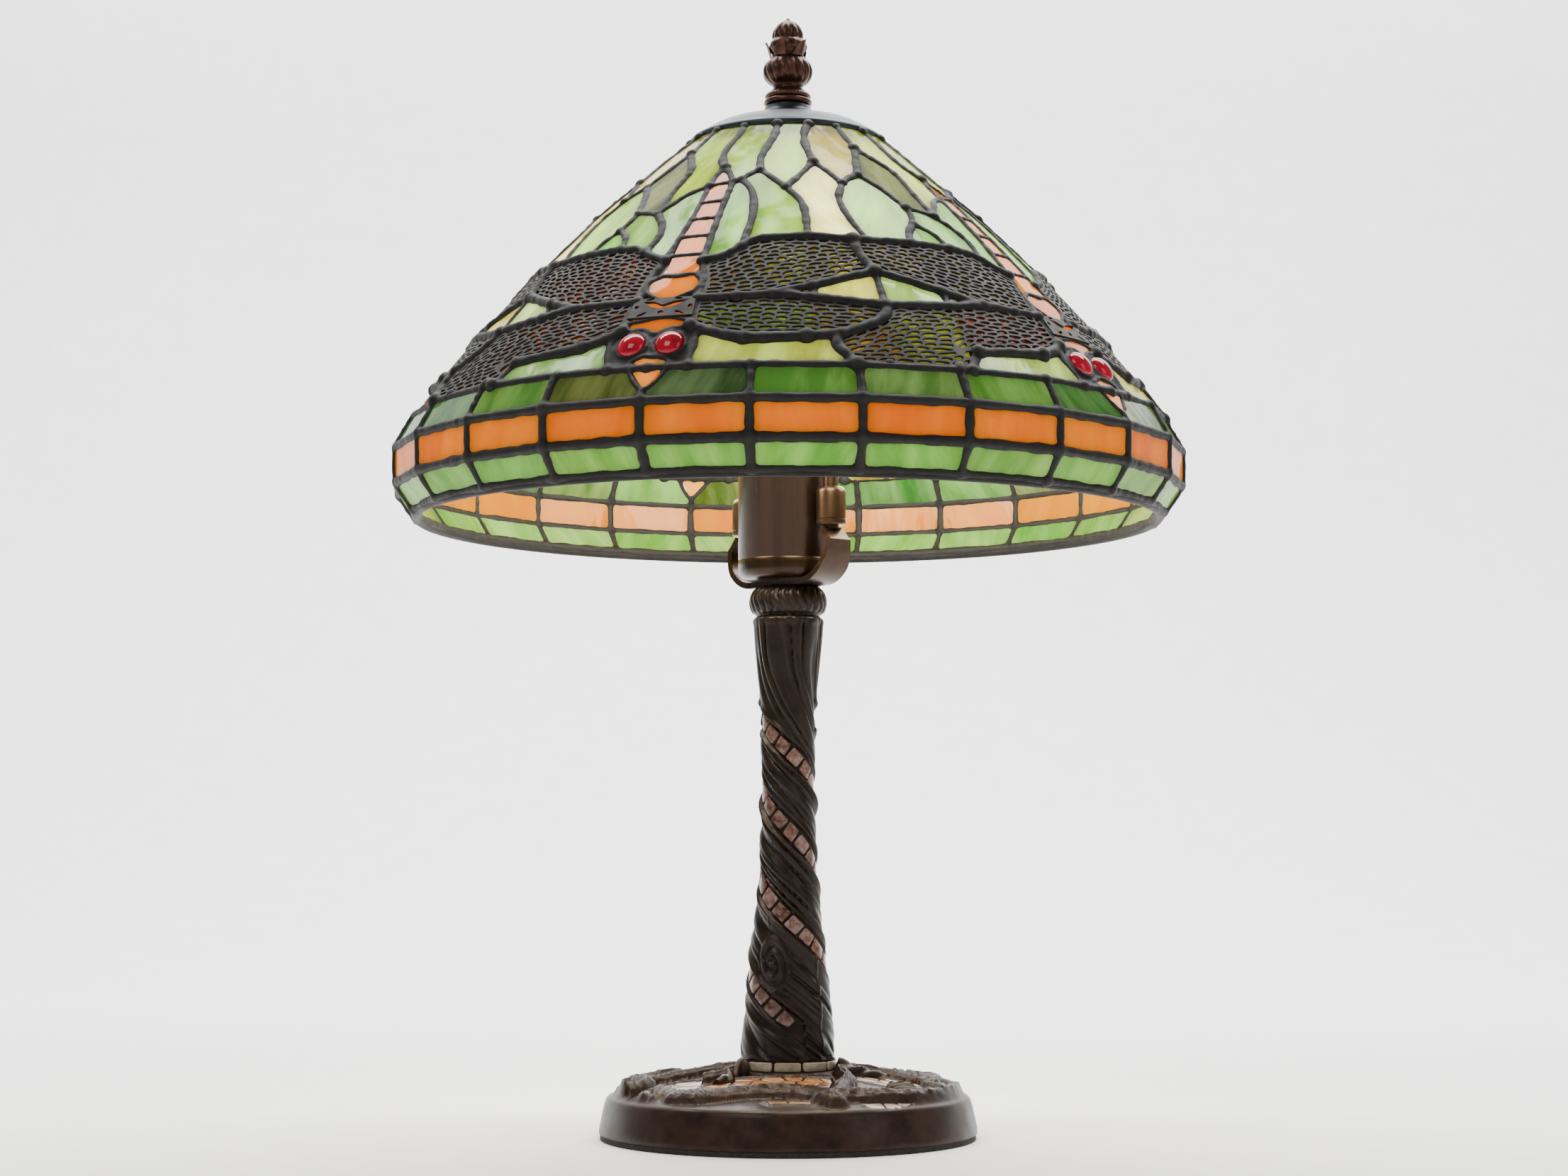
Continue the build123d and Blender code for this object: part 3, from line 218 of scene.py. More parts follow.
# Colour families of the glass. Each piece takes a mix of two colours of its family.
GLASS = {
    "sky": [(0.50, 0.68, 0.05), (0.42, 0.66, 0.06), (0.60, 0.70, 0.10)],
    "honey": [(0.62, 0.56, 0.20), (0.54, 0.56, 0.20), (0.48, 0.58, 0.18)],
    "moss": [(0.16, 0.19, 0.03), (0.22, 0.30, 0.05), (0.28, 0.36, 0.12)],
    "leaf": [(0.28, 0.58, 0.06), (0.40, 0.64, 0.09), (0.18, 0.48, 0.08)],
    "mint": [(0.40, 0.62, 0.26), (0.52, 0.68, 0.26), (0.34, 0.58, 0.28)],
    "cream": [(0.60, 0.66, 0.20), (0.52, 0.66, 0.20), (0.68, 0.66, 0.24)],
    "pale": [(0.84, 0.84, 0.46), (0.78, 0.82, 0.40), (0.84, 0.80, 0.42)],
    "peach": [(0.80, 0.44, 0.18), (0.70, 0.52, 0.22), (0.76, 0.58, 0.28)],
    "mist": [(0.30, 0.48, 0.34), (0.38, 0.56, 0.30), (0.42, 0.58, 0.40)],
    "wing": [(0.42, 0.44, 0.02), (0.58, 0.56, 0.04), (0.60, 0.36, 0.03), (0.26, 0.46, 0.03)],
    "wing_left": [(0.50, 0.14, 0.03), (0.42, 0.08, 0.03), (0.56, 0.30, 0.06), (0.44, 0.40, 0.05)],
    "brick": [(0.10, 0.30, 0.02), (0.05, 0.13, 0.04), (0.14, 0.42, 0.05), (0.12, 0.15, 0.02),
              (0.18, 0.28, 0.10), (0.04, 0.22, 0.02)],
    "amber": [(0.66, 0.27, 0.001), (0.68, 0.32, 0.004), (0.62, 0.23, 0.001)],
    "hem": [(0.22, 0.50, 0.07), (0.14, 0.42, 0.05), (0.30, 0.52, 0.14)],
    "body": [(0.66, 0.28, 0.001), (0.68, 0.33, 0.004), (0.62, 0.24, 0.001)],
    "nose": [(0.98, 0.56, 0.14), (0.96, 0.50, 0.10)],
}


# --- mesh helpers ------------------------------------------------------------------------------------
class Heap:
    """Vertices and faces gathered in millimetres, with a colour and a grain place per vertex."""

    def __init__(self):
        self.points = []
        self.faces = []
        self.tints = []
        self.grains = []

    def add(self, points, faces, tint=(0.5, 0.5, 0.5), grains=None):
        start = len(self.points)
        self.points.extend(tuple(p) for p in points)
        self.faces.extend(tuple(i + start for i in face) for face in faces)
        self.tints.extend([(*tint, 1.0)] * len(points))
        self.grains.extend(grains if grains is not None else [tuple(p) for p in points])

    def build(self, name, smooth=True):
        mesh = bpy.data.meshes.new(name)
        mesh.from_pydata([(x * MM, y * MM, z * MM) for x, y, z in self.points], [], self.faces)
        mesh.validate()
        if smooth:
            mesh.shade_smooth()
        tint = mesh.color_attributes.new("tint", "FLOAT_COLOR", "POINT")
        tint.data.foreach_set("color", np.array(self.tints, dtype=np.float32).ravel())
        grain = mesh.attributes.new("grain", "FLOAT_VECTOR", "POINT")
        grain.data.foreach_set("vector", np.array(self.grains, dtype=np.float32).ravel())
        piece = bpy.data.objects.new(name, mesh)
        bpy.context.scene.collection.objects.link(piece)
        return piece


def grid_faces(rows, columns, closed=True):
    """Quads of a grid of points, row after row, joined round if closed."""
    faces = []
    width = columns if closed else columns - 1
    for i in range(rows - 1):
        for j in range(width):
            k = (j + 1) % columns
            faces.append((i * columns + j, i * columns + k, (i + 1) * columns + k,
                          (i + 1) * columns + j))
    return faces


def sharpen(piece, angle=35):
    """Smooth shading that keeps edges sharper than the angle."""
    mesh = piece.data
    mesh.set_sharp_from_angle(angle=radians(angle))
    return piece


def lathe(name, profile, segments=128, wobble=0.0):
    """A turned piece from (radius, height) points, closed on itself or on the axis."""
    heap = Heap()
    points = []
    for r, z in profile:
        for j in range(segments):
            angle = 2 * pi * j / segments
            lump = wobble * noise.noise(Vector((cos(angle) * 2, sin(angle) * 2, z * 0.15)))
            points.append(((r + lump) * cos(angle), (r + lump) * sin(angle), z))
    faces = grid_faces(len(profile), segments)
    if profile[0][0] < 0.01 or profile[-1][0] < 0.01:
        heap.add(points, faces)
    else:
        heap.add(points, faces + last_to_first(len(profile), segments))
    piece = heap.build(name)
    return sharpen(piece)


def pick_from(colours, draw):
    """A colour between two of a list."""
    first, second = draw.sample(colours, 2)
    share = draw.random()
    return tuple(a + (b - a) * share for a, b in zip(first, second))


def signed_area(outline):
    """Twice an outline's area, positive when it runs to the left."""
    return sum(p[0] * q[1] - q[0] * p[1] for p, q in zip(outline, outline[1:] + outline[:1]))


def end_caps(rows, sides):
    """The two end faces of a tube given as rows of points."""
    last = (rows - 1) * sides
    return [tuple(range(sides))[::-1], tuple(last + j for j in range(sides))]


def last_to_first(rings, segments):
    """Quads that join the last ring of points to the first."""
    last = (rings - 1) * segments
    return [(last + j, last + (j + 1) % segments, (j + 1) % segments, j) for j in range(segments)]


def turned(points, degrees_round):
    """Points turned about the lamp's axis."""
    turn = radians(degrees_round)
    spin = np.array([[cos(turn), -sin(turn), 0], [sin(turn), cos(turn), 0], [0, 0, 1]])
    return points @ spin.T


def smooth_line(points, step):
    """A curve through points (Catmull-Rom), sampled at about the given step."""
    if len(points) == 2:
        (a0, s0), (a1, s1) = points
        count = max(2, int(hypot((a1 - a0) * 1.8, s1 - s0) / step))
        return [(a0 + (a1 - a0) * i / count, s0 + (s1 - s0) * i / count) for i in range(count + 1)]
    ends = [tuple(2 * p - q for p, q in zip(points[0], points[1]))]
    tail = [tuple(2 * p - q for p, q in zip(points[-1], points[-2]))]
    chain = ends + list(points) + tail
    out = []
    for p0, p1, p2, p3 in zip(chain, chain[1:], chain[2:], chain[3:]):
        count = max(2, int(hypot((p2[0] - p1[0]) * 1.8, p2[1] - p1[1]) / step))
        for i in range(count):
            t = i / count
            out.append(tuple(0.5 * (2 * b + (c - a) * t + (2 * a - 5 * b + 4 * c - d) * t ** 2
                                    + (3 * b - a - 3 * c + d) * t ** 3) for a, b, c,
                             d in zip(p0, p1, p2, p3)))
    out.append(tuple(points[-1]))
    return out


# --- the shade's surface -----------------------------------------------------------------------------
def dome_arc():
    """Centre, radius and half angle of the arc that the side of the shade follows."""
    run = DOME_BOTTOM[0] - DOME_TOP[0]
    drop = DOME_BOTTOM[1] - DOME_TOP[1]
    chord = hypot(run, drop)
    radius = (chord ** 2 / 4 + DOME_BULGE ** 2) / (2 * DOME_BULGE)
    along = np.array((run / chord, drop / chord))
    normal = np.array((-along[1], along[0]))
    middle = (np.array(DOME_TOP) + np.array(DOME_BOTTOM)) / 2
    return middle - normal * (radius - DOME_BULGE), radius, asin(chord / 2 / radius), along, normal


ARC_CENTRE, ARC_RADIUS, ARC_HALF, ARC_ALONG, ARC_NORMAL = dome_arc()
DOME_LENGTH = 2 * ARC_RADIUS * ARC_HALF


def row_slants():
    """Slant distances of the edges of the three brick rows."""
    edges = [DOME_LENGTH]
    start = DOME_BOTTOM
    for end in ROWS:
        edges.append(edges[-1] + hypot(end[0] - start[0], end[1] - start[1]))
        start = end
    return edges


ROW_SLANTS = row_slants()


def section(slant):
    """Radius, height and outward normal (radial, upward) at slant distances."""
    slant = np.asarray(slant, float)
    turn = (2 * np.minimum(slant, DOME_LENGTH) / DOME_LENGTH - 1) * ARC_HALF
    out = np.cos(turn)[..., None] * ARC_NORMAL + np.sin(turn)[..., None] * ARC_ALONG
    place = ARC_CENTRE + ARC_RADIUS * out
    rows = [DOME_BOTTOM] + ROWS
    r = np.where(slant > DOME_LENGTH, np.interp(slant, ROW_SLANTS, [p[0] for p in rows]), place[..., 0])
    z = np.where(slant > DOME_LENGTH, np.interp(slant, ROW_SLANTS, [p[1] for p in rows]), place[..., 1])
    tilt = np.arctan2(out[..., 1], out[..., 0])
    middles = [DOME_LENGTH - 6] + [(p + q) / 2 for p, q in zip(ROW_SLANTS, ROW_SLANTS[1:])]
    angles = [0.66] + [atan2(b[0] - a[0], a[1] - b[1]) for a, b in zip(rows, rows[1:])]
    tilt = np.where(slant > DOME_LENGTH - 6, np.interp(slant, middles, angles), tilt)
    return r, z, np.cos(tilt), np.sin(tilt)


def on_shade(angle, slant, lift=0.0):
    """Points of the shade's surface, lifted off it; the brick rows are flat between their seams."""
    angle = np.asarray(angle, float)
    slant = np.asarray(slant, float)
    r, z, nr, nz = section(slant)
    share = angle / COLUMN_ANGLE - np.floor(angle / COLUMN_ANGLE)
    half = radians(COLUMN_ANGLE / 2)
    chord = cos(half) / np.cos(np.radians(COLUMN_ANGLE) * (share - 0.5))
    flat = np.clip((slant - 135) / 20, 0, 1)
    r = r * (1 + (chord - 1) * flat)
    turn = np.radians(angle + DRAGONFLY_ANGLE)
    reach = r + nr * lift
    return np.stack([reach * np.sin(turn), -reach * np.cos(turn), z + nz * lift], -1)


def surface_normal(angle, slant):
    """Outward normals of the shade's surface."""
    normal = on_shade(angle, slant, 1.0) - on_shade(angle, slant, 0.0)
    return normal / np.linalg.norm(normal, axis=-1, keepdims=True)


def local_axes(angle, slant, lift):
    """A place on the shade, with its outward, sideways and downward directions."""
    up = surface_normal(angle, slant)
    across = np.cross((0, 0, 1), up)
    across /= np.linalg.norm(across)
    return on_shade(angle, slant, lift), up, across, np.cross(up, across)


def loop_points(loop, step=3.0):
    """The (angle, slant) points round a pane, with its lines as smooth curves."""
    points = []
    for name in loop:
        shift = {">": REPEAT_ANGLE, "<": -REPEAT_ANGLE}.get(name[0], 0)
        name = name.lstrip("<>")
        line = smooth_line(LINES[name.lstrip("-")], step)
        if name.startswith("-"):
            line = line[::-1]
        line = [(angle + shift, slant) for angle, slant in line]
        if points and hypot(points[-1][0] - line[0][0], points[-1][1] - line[0][1]) < 0.05:
            line = line[1:]
        elif points:
            gap = smooth_line([points[-1], line[0]], step)
            points.extend(gap[1:-1])
        points.extend(line)
    if hypot(points[-1][0] - points[0][0], points[-1][1] - points[0][1]) < 0.05:
        points.pop()
    else:
        points.extend(smooth_line([points[-1], points[0]], step)[1:-1])
    return points


def inside(polygon, x, y):
    """Whether a point is inside a polygon."""
    hit = False
    for (x0, y0), (x1, y1) in zip(polygon, polygon[1:] + polygon[:1]):
        if (y0 > y) != (y1 > y) and x < (x1 - x0) * (y - y0) / (y1 - y0) + x0:
            hit = not hit
    return hit


def edge_distance(polygon, x, y):
    """Distance from a point to a polygon's outline."""
    p = np.array(polygon)
    q = np.roll(p, -1, axis=0)
    d = q - p
    t = np.clip(((x - p[:, 0]) * d[:, 0] + (y - p[:, 1]) * d[:, 1]) / np.maximum((d ** 2).sum(1), 1e-9),
                0, 1)
    near = p + d * t[:, None]
    return np.sqrt(((near - (x, y)) ** 2).sum(1).min())


def filled(outline, holes=(), spacing=6.0):
    """Triangles over an outline in millimetres, less its holes, with a few inner points."""
    points = list(outline)
    edges = [(i, (i + 1) % len(outline)) for i in range(len(outline))]
    for hole in holes:
        start = len(points)
        points.extend(hole)
        edges.extend((start + i, start + (i + 1) % len(hole)) for i in range(len(hole)))
    if spacing:
        xs = [p[0] for p in outline]
        ys = [p[1] for p in outline]
        for i in range(int((max(xs) - min(xs)) / spacing) + 1):
            for j in range(int((max(ys) - min(ys)) / spacing) + 1):
                x = min(xs) + (i + 0.5 + 0.5 * (j % 2)) * spacing
                y = min(ys) + (j + 0.5) * spacing
                if inside(outline, x, y) and edge_distance(outline, x, y) > spacing * 0.4:
                    points.append((x, y))
    result = delaunay_2d_cdt([Vector(p) for p in points], edges, [], 0, 1e-5)
    places = [(v.x, v.y) for v in result[0]]
    boxes = [(min(p[0] for p in h), min(p[1] for p in h), max(p[0] for p in h),
              max(p[1] for p in h)) for h in holes]
    faces = []
    for face in result[2]:
        cx = sum(places[i][0] for i in face) / len(face)
        cy = sum(places[i][1] for i in face) / len(face)
        near = [h for h, b in zip(holes, boxes) if b[0] < cx < b[2] and b[1] < cy < b[3]]
        if inside(outline, cx, cy) and not any(inside(hole, cx, cy) for hole in near):
            faces.append(tuple(face))
    return places, faces


def thick(places, faces, top, low):
    """A closed slab from triangles, given the upper and lower positions of their corners."""
    count = len(places)
    directed = {(face[i], face[(i + 1) % len(face)]) for face in faces for i in range(len(face))}
    walls = [(b, a, a + count, b + count) for a, b in directed if (b, a) not in directed]
    slab = [tuple(f) for f in faces] + [tuple(i + count for i in f[::-1]) for f in faces] + walls
    used = sorted({i for f in slab for i in f})
    index = {old: new for new, old in enumerate(used)}
    positions = np.concatenate([top, low])[used]
    return positions, [tuple(index[i] for i in f) for f in slab], used


def pane(heap, points, tint, seed, flatness=1.0, lift=0.0, shift=0.0):
    """One piece of glass, flat in the middle, drawn in a little under its leads."""
    r_middle = float(section(np.mean([p[1] for p in points]))[0]) * radians(1)
    outline = [(a * r_middle, s) for a, s in points]
    if signed_area(outline) < 0:
        outline = outline[::-1]
    places, faces = filled(outline)
    flat = np.array(places)
    angle = flat[:, 0] / r_middle
    slant = flat[:, 1]
    base = on_shade(angle, slant, lift)
    middle = base.mean(0)
    normal = np.linalg.svd(base - middle)[2][2]
    if normal @ surface_normal(angle, slant).mean(0) < 0:
        normal = -normal
    depth = (base - middle) @ normal
    margin = np.array([min(edge_distance(outline, x, y) / 4.0, 1.0) for x, y in places])
    pull = flatness * (0.35 + 0.65 * margin)
    base = base - normal * (depth * pull)[:, None]
    out = surface_normal(angle, slant) * 0.5 + normal * 0.5
    turn = random.Random(seed).uniform(-0.5, 0.5)
    grain = np.stack([flat[:, 0] * cos(turn) - flat[:, 1] * sin(turn),
                      flat[:, 0] * sin(turn) + flat[:, 1] * cos(turn), np.full(len(flat), seed * 7.3)],
                     -1)
    slab, slab_faces, used = thick(places, faces, base - out * GLASS_HALF, base + out * GLASS_HALF)
    if shift:
        slab = turned(slab, shift)
    grains = np.concatenate([grain, grain])[used]
    heap.add(slab, slab_faces, tint, [tuple(g) for g in grains])


def brick_points(column, row):
    """Outline of one brick, with the corner beside the dragonfly's nose cut off."""
    top, low = ROW_SLANTS[row], ROW_SLANTS[row + 1]
    left = column * COLUMN_ANGLE
    right = left + COLUMN_ANGLE
    if row == 0 and column == -1:
        return [(left, top), (-3.6, top), (0, 167.5), (0, low), (left, low)]
    if row == 0 and column == 0:
        return [(3.6, top), (right, top), (right, low), (0, low), (0, 167.5)]
    return [(left, top), (right, top), (right, low), (left, low)]


def tail_outlines():
    """The dragonfly's tail segments, thorax and shoulders."""
    outlines = [TAIL_TIP]
    half = TAIL_HALF_ANGLE
    for (left, right), (next_left, next_right) in zip(TAIL_RUNGS, TAIL_RUNGS[1:]):
        outlines.append([(-half, left), (half, right), (half, next_right), (-half, next_left)])
    return outlines + [THORAX, WAIST, SHOULDER]


def dense(points, step=3.0):
    """A straight-sided outline with more points along its sides."""
    out = []
    for p, q in zip(points, points[1:] + points[:1]):
        out.extend(smooth_line([p, q], step)[:-1])
    return out


def glass_pieces():
    """All the flat glass of the shade, one object for each kind."""
    pieces = {}
    draw = random.Random(11)
    for name, rows in PANES.items():
        heap = Heap()
        for loop, family in rows:
            outline = loop_points(loop)
            for k in range(REPEATS):
                here = family
                if family == "wing_left" and k != 0:
                    here = "wing" if draw.random() < 0.6 else "wing_left"
                flatness = 0.0 if name == "glass_wings" else 1.0
                lift = -0.9 if name == "glass_wings" else 0.0
                pane(heap, outline, pick_from(GLASS[here], draw), draw.randint(1, 99), flatness, lift,
                     k * REPEAT_ANGLE)
        pieces[name] = sharpen(heap.build(name + "_panes"), 40)
    for row, (node, family) in enumerate((("green", "brick"), ("amber", "amber"), ("hem", "hem"))):
        heap = Heap()
        for column in range(-2, 3):
            outline = dense(brick_points(column, row))
            for k in range(REPEATS):
                pane(heap, outline, pick_from(GLASS[family], draw), draw.randint(1, 99), 0.6, 0,
                     k * REPEAT_ANGLE)
        pieces["glass_bricks_" + node] = sharpen(heap.build("brick_row_" + node), 40)
    for node, outlines, family in (("dragonfly_bodies", tail_outlines(), "body"),
                                   ("dragonfly_noses", [KITE], "nose")):
        heap = Heap()
        for outline in outlines:
            for k in range(REPEATS):
                pane(heap, dense(outline), pick_from(GLASS[family], draw), draw.randint(1, 99), 0.3,
                     0.1, k * REPEAT_ANGLE)
        pieces[node] = sharpen(heap.build(node + "_glass"), 40)
    return pieces


def eye_pieces():
    """Round domed glass eyes in their cups."""
    heap = Heap()
    segments = 40
    profile = [(0.0, -1.6), (EYE_RADIUS, -1.6), (EYE_RADIUS, 1.2)]
    profile += [(EYE_RADIUS * cos(t * pi / 2 / 10),
                 1.2 + 3.4 * sin(t * pi / 2 / 10)) for t in range(1, 11)]
    for k in range(REPEATS):
        for side in EYE_ANGLES:
            angle = side + k * REPEAT_ANGLE
            centre, up, across, down = local_axes(angle, EYE_SLANT, 0.0)
            points = []
            for r, h in profile:
                for j in range(segments):
                    turn = 2 * pi * j / segments
                    points.append(centre + up * h + across * r * cos(turn)
                                  + down * r * 1.06 * sin(turn))
            heap.add(points, grid_faces(len(profile), segments), (0.75, 0.0, 0.03))
    return sharpen(heap.build("dragonfly_eyes_cabochons"), 50)


# --- solder ------------------------------------------------------------------------------------------
def tube(heap, points, half_width, half_height, lift, seed):
    """An uneven solder bead along (angle, slant) points."""
    a = np.array([p[0] for p in points])
    s = np.array([p[1] for p in points])
    centre = on_shade(a, s, lift)
    up = surface_normal(a, s)
    along = np.gradient(centre, axis=0)
    along /= np.linalg.norm(along, axis=1, keepdims=True)
    side = np.cross(along, up)
    side /= np.linalg.norm(side, axis=1, keepdims=True)
    sides = 10
    ring = []
    for i in range(len(points)):
        wave = noise.noise(Vector((i * 0.45, seed * 3.7, 0.3)))
        lump = noise.noise(Vector((i * 0.9, seed * 1.9, 5.1)))
        width = half_width * (1 + 0.30 * wave)
        height = half_height * (1 + 0.22 * lump)
        for j in range(sides):
            turn = 2 * pi * j / sides
            ring.append(centre[i] + side[i] * width * cos(turn) + up[i] * height * sin(turn))
    heap.add(ring, grid_faces(len(points), sides) + end_caps(len(points), sides))


def blob(heap, angle, slant, size, lift=0.3, flat=1.0):
    """A lump of solder."""
    centre, up, across, down = local_axes(angle, slant, lift)
    rows = 7
    sides = 12
    points = []
    for i in range(1, rows + 1):
        tilt = pi * i / (rows + 1)
        for j in range(sides):
            turn = 2 * pi * j / sides
            points.append(centre + up * size * flat * cos(tilt)
                          + (across * cos(turn) + down * sin(turn)) * size * sin(tilt))
    heap.add(points, grid_faces(rows, sides) + end_caps(rows, sides))


def lead_width(name):
    """Half width of the solder on a line."""
    for start, width in LEAD_WIDTHS.items():
        if name.startswith(start):
            return width
    return PLAIN_LEAD


def plate_part(heap, outline, holes, lift_low, lift_high, r_scale, spacing=4.0):
    """A piece of sheet on the shade's surface, between two lifts, with holes."""
    flat = [(a * r_scale, s) for a, s in outline]
    cut = [[(a * r_scale, s) for a, s in hole] for hole in holes]
    if signed_area(flat) < 0:
        flat = flat[::-1]
    places, faces = filled(flat, cut, spacing)
    xy = np.array(places)
    top = on_shade(xy[:, 0] / r_scale, xy[:, 1], lift_low)
    low = on_shade(xy[:, 0] / r_scale, xy[:, 1], lift_high)
    slab, slab_faces, _ = thick(places, faces, top, low)
    heap.add(slab, slab_faces)


def leading(k):
    """The soldered lines of one repeat, merged into one skin."""
    heap = Heap()
    draw = random.Random(100 + k)
    shift = k * REPEAT_ANGLE
    ends = {}
    for name, points in LINES.items():
        if name.startswith("split_") or name in ("tip_low_start", "tip_low_end"):
            continue
        line = [(a + shift, s) for a, s in smooth_line(points, 1.6)]
        width = lead_width(name)
        rim = name.startswith(("wing_", "under_", "over_", "low_", "tip_"))
        tube(heap, line, width, 2.5 if rim else 2.0, 0.5 if rim else 0.15, draw.random() * 50)
        for point in (line[0], line[-1]):
            key = (round(point[0], 1), round(point[1], 1))
            ends[key] = max(ends.get(key, 0), width)
    for (a, s), width in ends.items():
        blob(heap, a, s, width * draw.uniform(1.15, 1.45), 0.2, 1.1)
    for left, right in TAIL_RUNGS:
        rung = smooth_line([(-3.4 + shift, left), (3.4 + shift, right)], 1.2)
        tube(heap, rung, 1.3, 2.0, 0.2, draw.random() * 50)
    for loop in (THORAX, SHOULDER, KITE):
        outline = [(a + shift, s) for a, s in loop]
        tube(heap, smooth_line(outline + outline[:1], 1.2), 1.25, 2.1, 0.15, draw.random() * 50)
    head = [(-6.2, 137), (-7.4, 143), (-7.2, 150), (-6.4, 157), (-3.5, 157.4), (-2.9, 155.2),
            (-0.9, 151.4),
            (3.0, 154.9), (3.4, 157.4), (5.6, 157), (5.9, 150), (5.9, 142), (4.7, 136.5), (4.5, 137.2),
            (1.5, 137.6), (-0.5, 140.2), (-2.6, 137.6), (-5.8, 137.8)]
    head = [(a + shift, s) for a, s in head]
    plate_part(heap, head, [], -1.3, 1.2, WAIST_SCALE, 3.0)
    for side in EYE_ANGLES:
        ring = [(side + shift + degrees((EYE_RADIUS + 0.5) / 137.5) * cos(t * pi / 12),
                 EYE_SLANT + (EYE_RADIUS + 0.5) * sin(t * pi / 12)) for t in range(25)]
        tube(heap, ring, 0.9, 1.7, 0.5, draw.random() * 50)
    for edge in ROW_SLANTS:
        for column in range(-2, 3):
            left = column * COLUMN_ANGLE - 0.1
            line = smooth_line([(left + shift, edge), (left + COLUMN_ANGLE + 0.2 + shift, edge)], 1.6)
            tube(heap, line, ROW_LEAD, 2.3, 0.1, draw.random() * 50)
    for column in range(-2, 3):
        top = 167 if column == 0 else ROW_SLANTS[0]
        seam = column * COLUMN_ANGLE + shift
        tube(heap, smooth_line([(seam, top), (seam, ROW_SLANTS[-1])], 1.6), ROW_LEAD, 2.3, 0.1,
             draw.random() * 50)
        for edge in ROW_SLANTS:
            blob(heap, seam, edge, draw.uniform(2.3, 3.0), 0.2, 0.95)
    for a, s, size in ((32.4, 89, 3.0), (32.8, 94, 2.8), (33.4, 99, 2.5), (34.9, 127, 3.0),
                       (34.0, 132, 2.8),
                       (27.6, 141, 3.2), (26.6, 146, 2.8), (27.4, 152, 3.0), (-28.5, 155.6, 2.8),
                       (-39, 155.5, 2.6), (-17.5, 120.6, 2.6), (16.2, 120.4, 2.6), (-6.4, 137.5, 2.4)):
        blob(heap, a + shift + draw.uniform(-0.3, 0.3), s, size * draw.uniform(0.85, 1.1), 0.4, 0.9)
    piece = heap.build("leading_section_" + str(k + 1), smooth=False)
    melt(piece, MELT_VOXEL, 3)
    return piece


def melt(piece, voxel, smoothing):
    """Merges overlapping parts into one skin and softens it."""
    remesh = piece.modifiers.new("melt", "REMESH")
    remesh.mode = "VOXEL"
    remesh.voxel_size = voxel
    soften = piece.modifiers.new("soften", "SMOOTH")
    soften.factor = 0.5
    soften.iterations = smoothing
    apply_modifiers(piece)
    piece.data.shade_smooth()


def apply_modifiers(piece):
    """Replaces the mesh by its evaluated form."""
    graph = bpy.context.evaluated_depsgraph_get()
    mesh = bpy.data.meshes.new_from_object(piece.evaluated_get(graph))
    piece.modifiers.clear()
    old = piece.data
    piece.data = mesh
    bpy.data.meshes.remove(old)


# --- wing overlays -----------------------------------------------------------------------------------
HOLE_LENGTH = 5.4
HOLE_WIDTH = 2.35
STRAND = 0.82
EDGE_STRIP = 1.7
SMALLEST_HOLE = 1.3
# Millimetres to a degree round the shade, at the wings and at the waists.
WING_SCALE = 2.05
WAIST_SCALE = 2.4
WINGS = [
    ([(-4.6, 98), (-10.2, 91.7), (-14.5, 88.4), (-26.8, 87.4), (-39.6, 87.6)],
     [(-6, 121.6), (-12, 121.6), (-18.6, 120.9), (-26, 115.3), (-37.2, 106.5)]),
    ([(3.4, 100), (8, 97), (13, 88.5), (23.4, 86.2), (32.4, 87.6)],
     [(4.5, 121.8), (11, 121.6), (16.8, 120.6), (23.4, 115.8), (34.8, 106.5)]),
    ([(-6, 121.8), (-12, 121.8), (-18.6, 121.1), (-27, 123.8), (-37.1, 125.5), (-42, 137.5)],
     [(-6.2, 137), (-9, 141.3), (-13, 143.9), (-24.4, 147), (-28, 155.2), (-39.5, 155.2)]),
    ([(4.5, 122), (11, 121.8), (16.8, 120.8), (25, 123), (34.9, 125.5)],
     [(4.7, 136.5), (8.6, 140.6), (13, 143.6), (20, 143.3), (27.1, 141.5)]),
]
WING_LOOPS = [
    ["wing_ul_1", "wing_ul_2", "wing_ul_3", "wing_ul_4", "wing_ul_5", "<tip_high", "under_l_1",
     "under_l_2",
     "under_l_3", "under_l_4", "-body_left"],
    ["wing_ur_1", "wing_ur_2", "wing_ur_3", "tip_high", "under_r_1", "under_r_2", "under_r_3",
     "under_r_4",
     "-body_right"],
    ["-under_l_4", "-under_l_3", "over_l_1", "over_l_2", "<tip_low_start", "<tip_low_end", "<tip_toe",
     "-heel",
     "low_l_1", "low_l_2", "-waist_left"],
    ["-under_r_4", "-under_r_3", "over_r_1", "over_r_2", "tip_low", "low_r_1", "low_r_2", "low_r_3",
     "-waist_right"],
]


def along_line(points, share):
    """The point at a share of a polyline's length."""
    steps = [hypot((q[0] - p[0]) * 2, q[1] - p[1]) for p, q in zip(points, points[1:])]
    left = share * sum(steps)
    for (p, q), step in zip(zip(points, points[1:]), steps):
        if left <= step:
            t = left / step
            return p[0] + (q[0] - p[0]) * t, p[1] + (q[1] - p[1]) * t
        left -= step
    return points[-1]


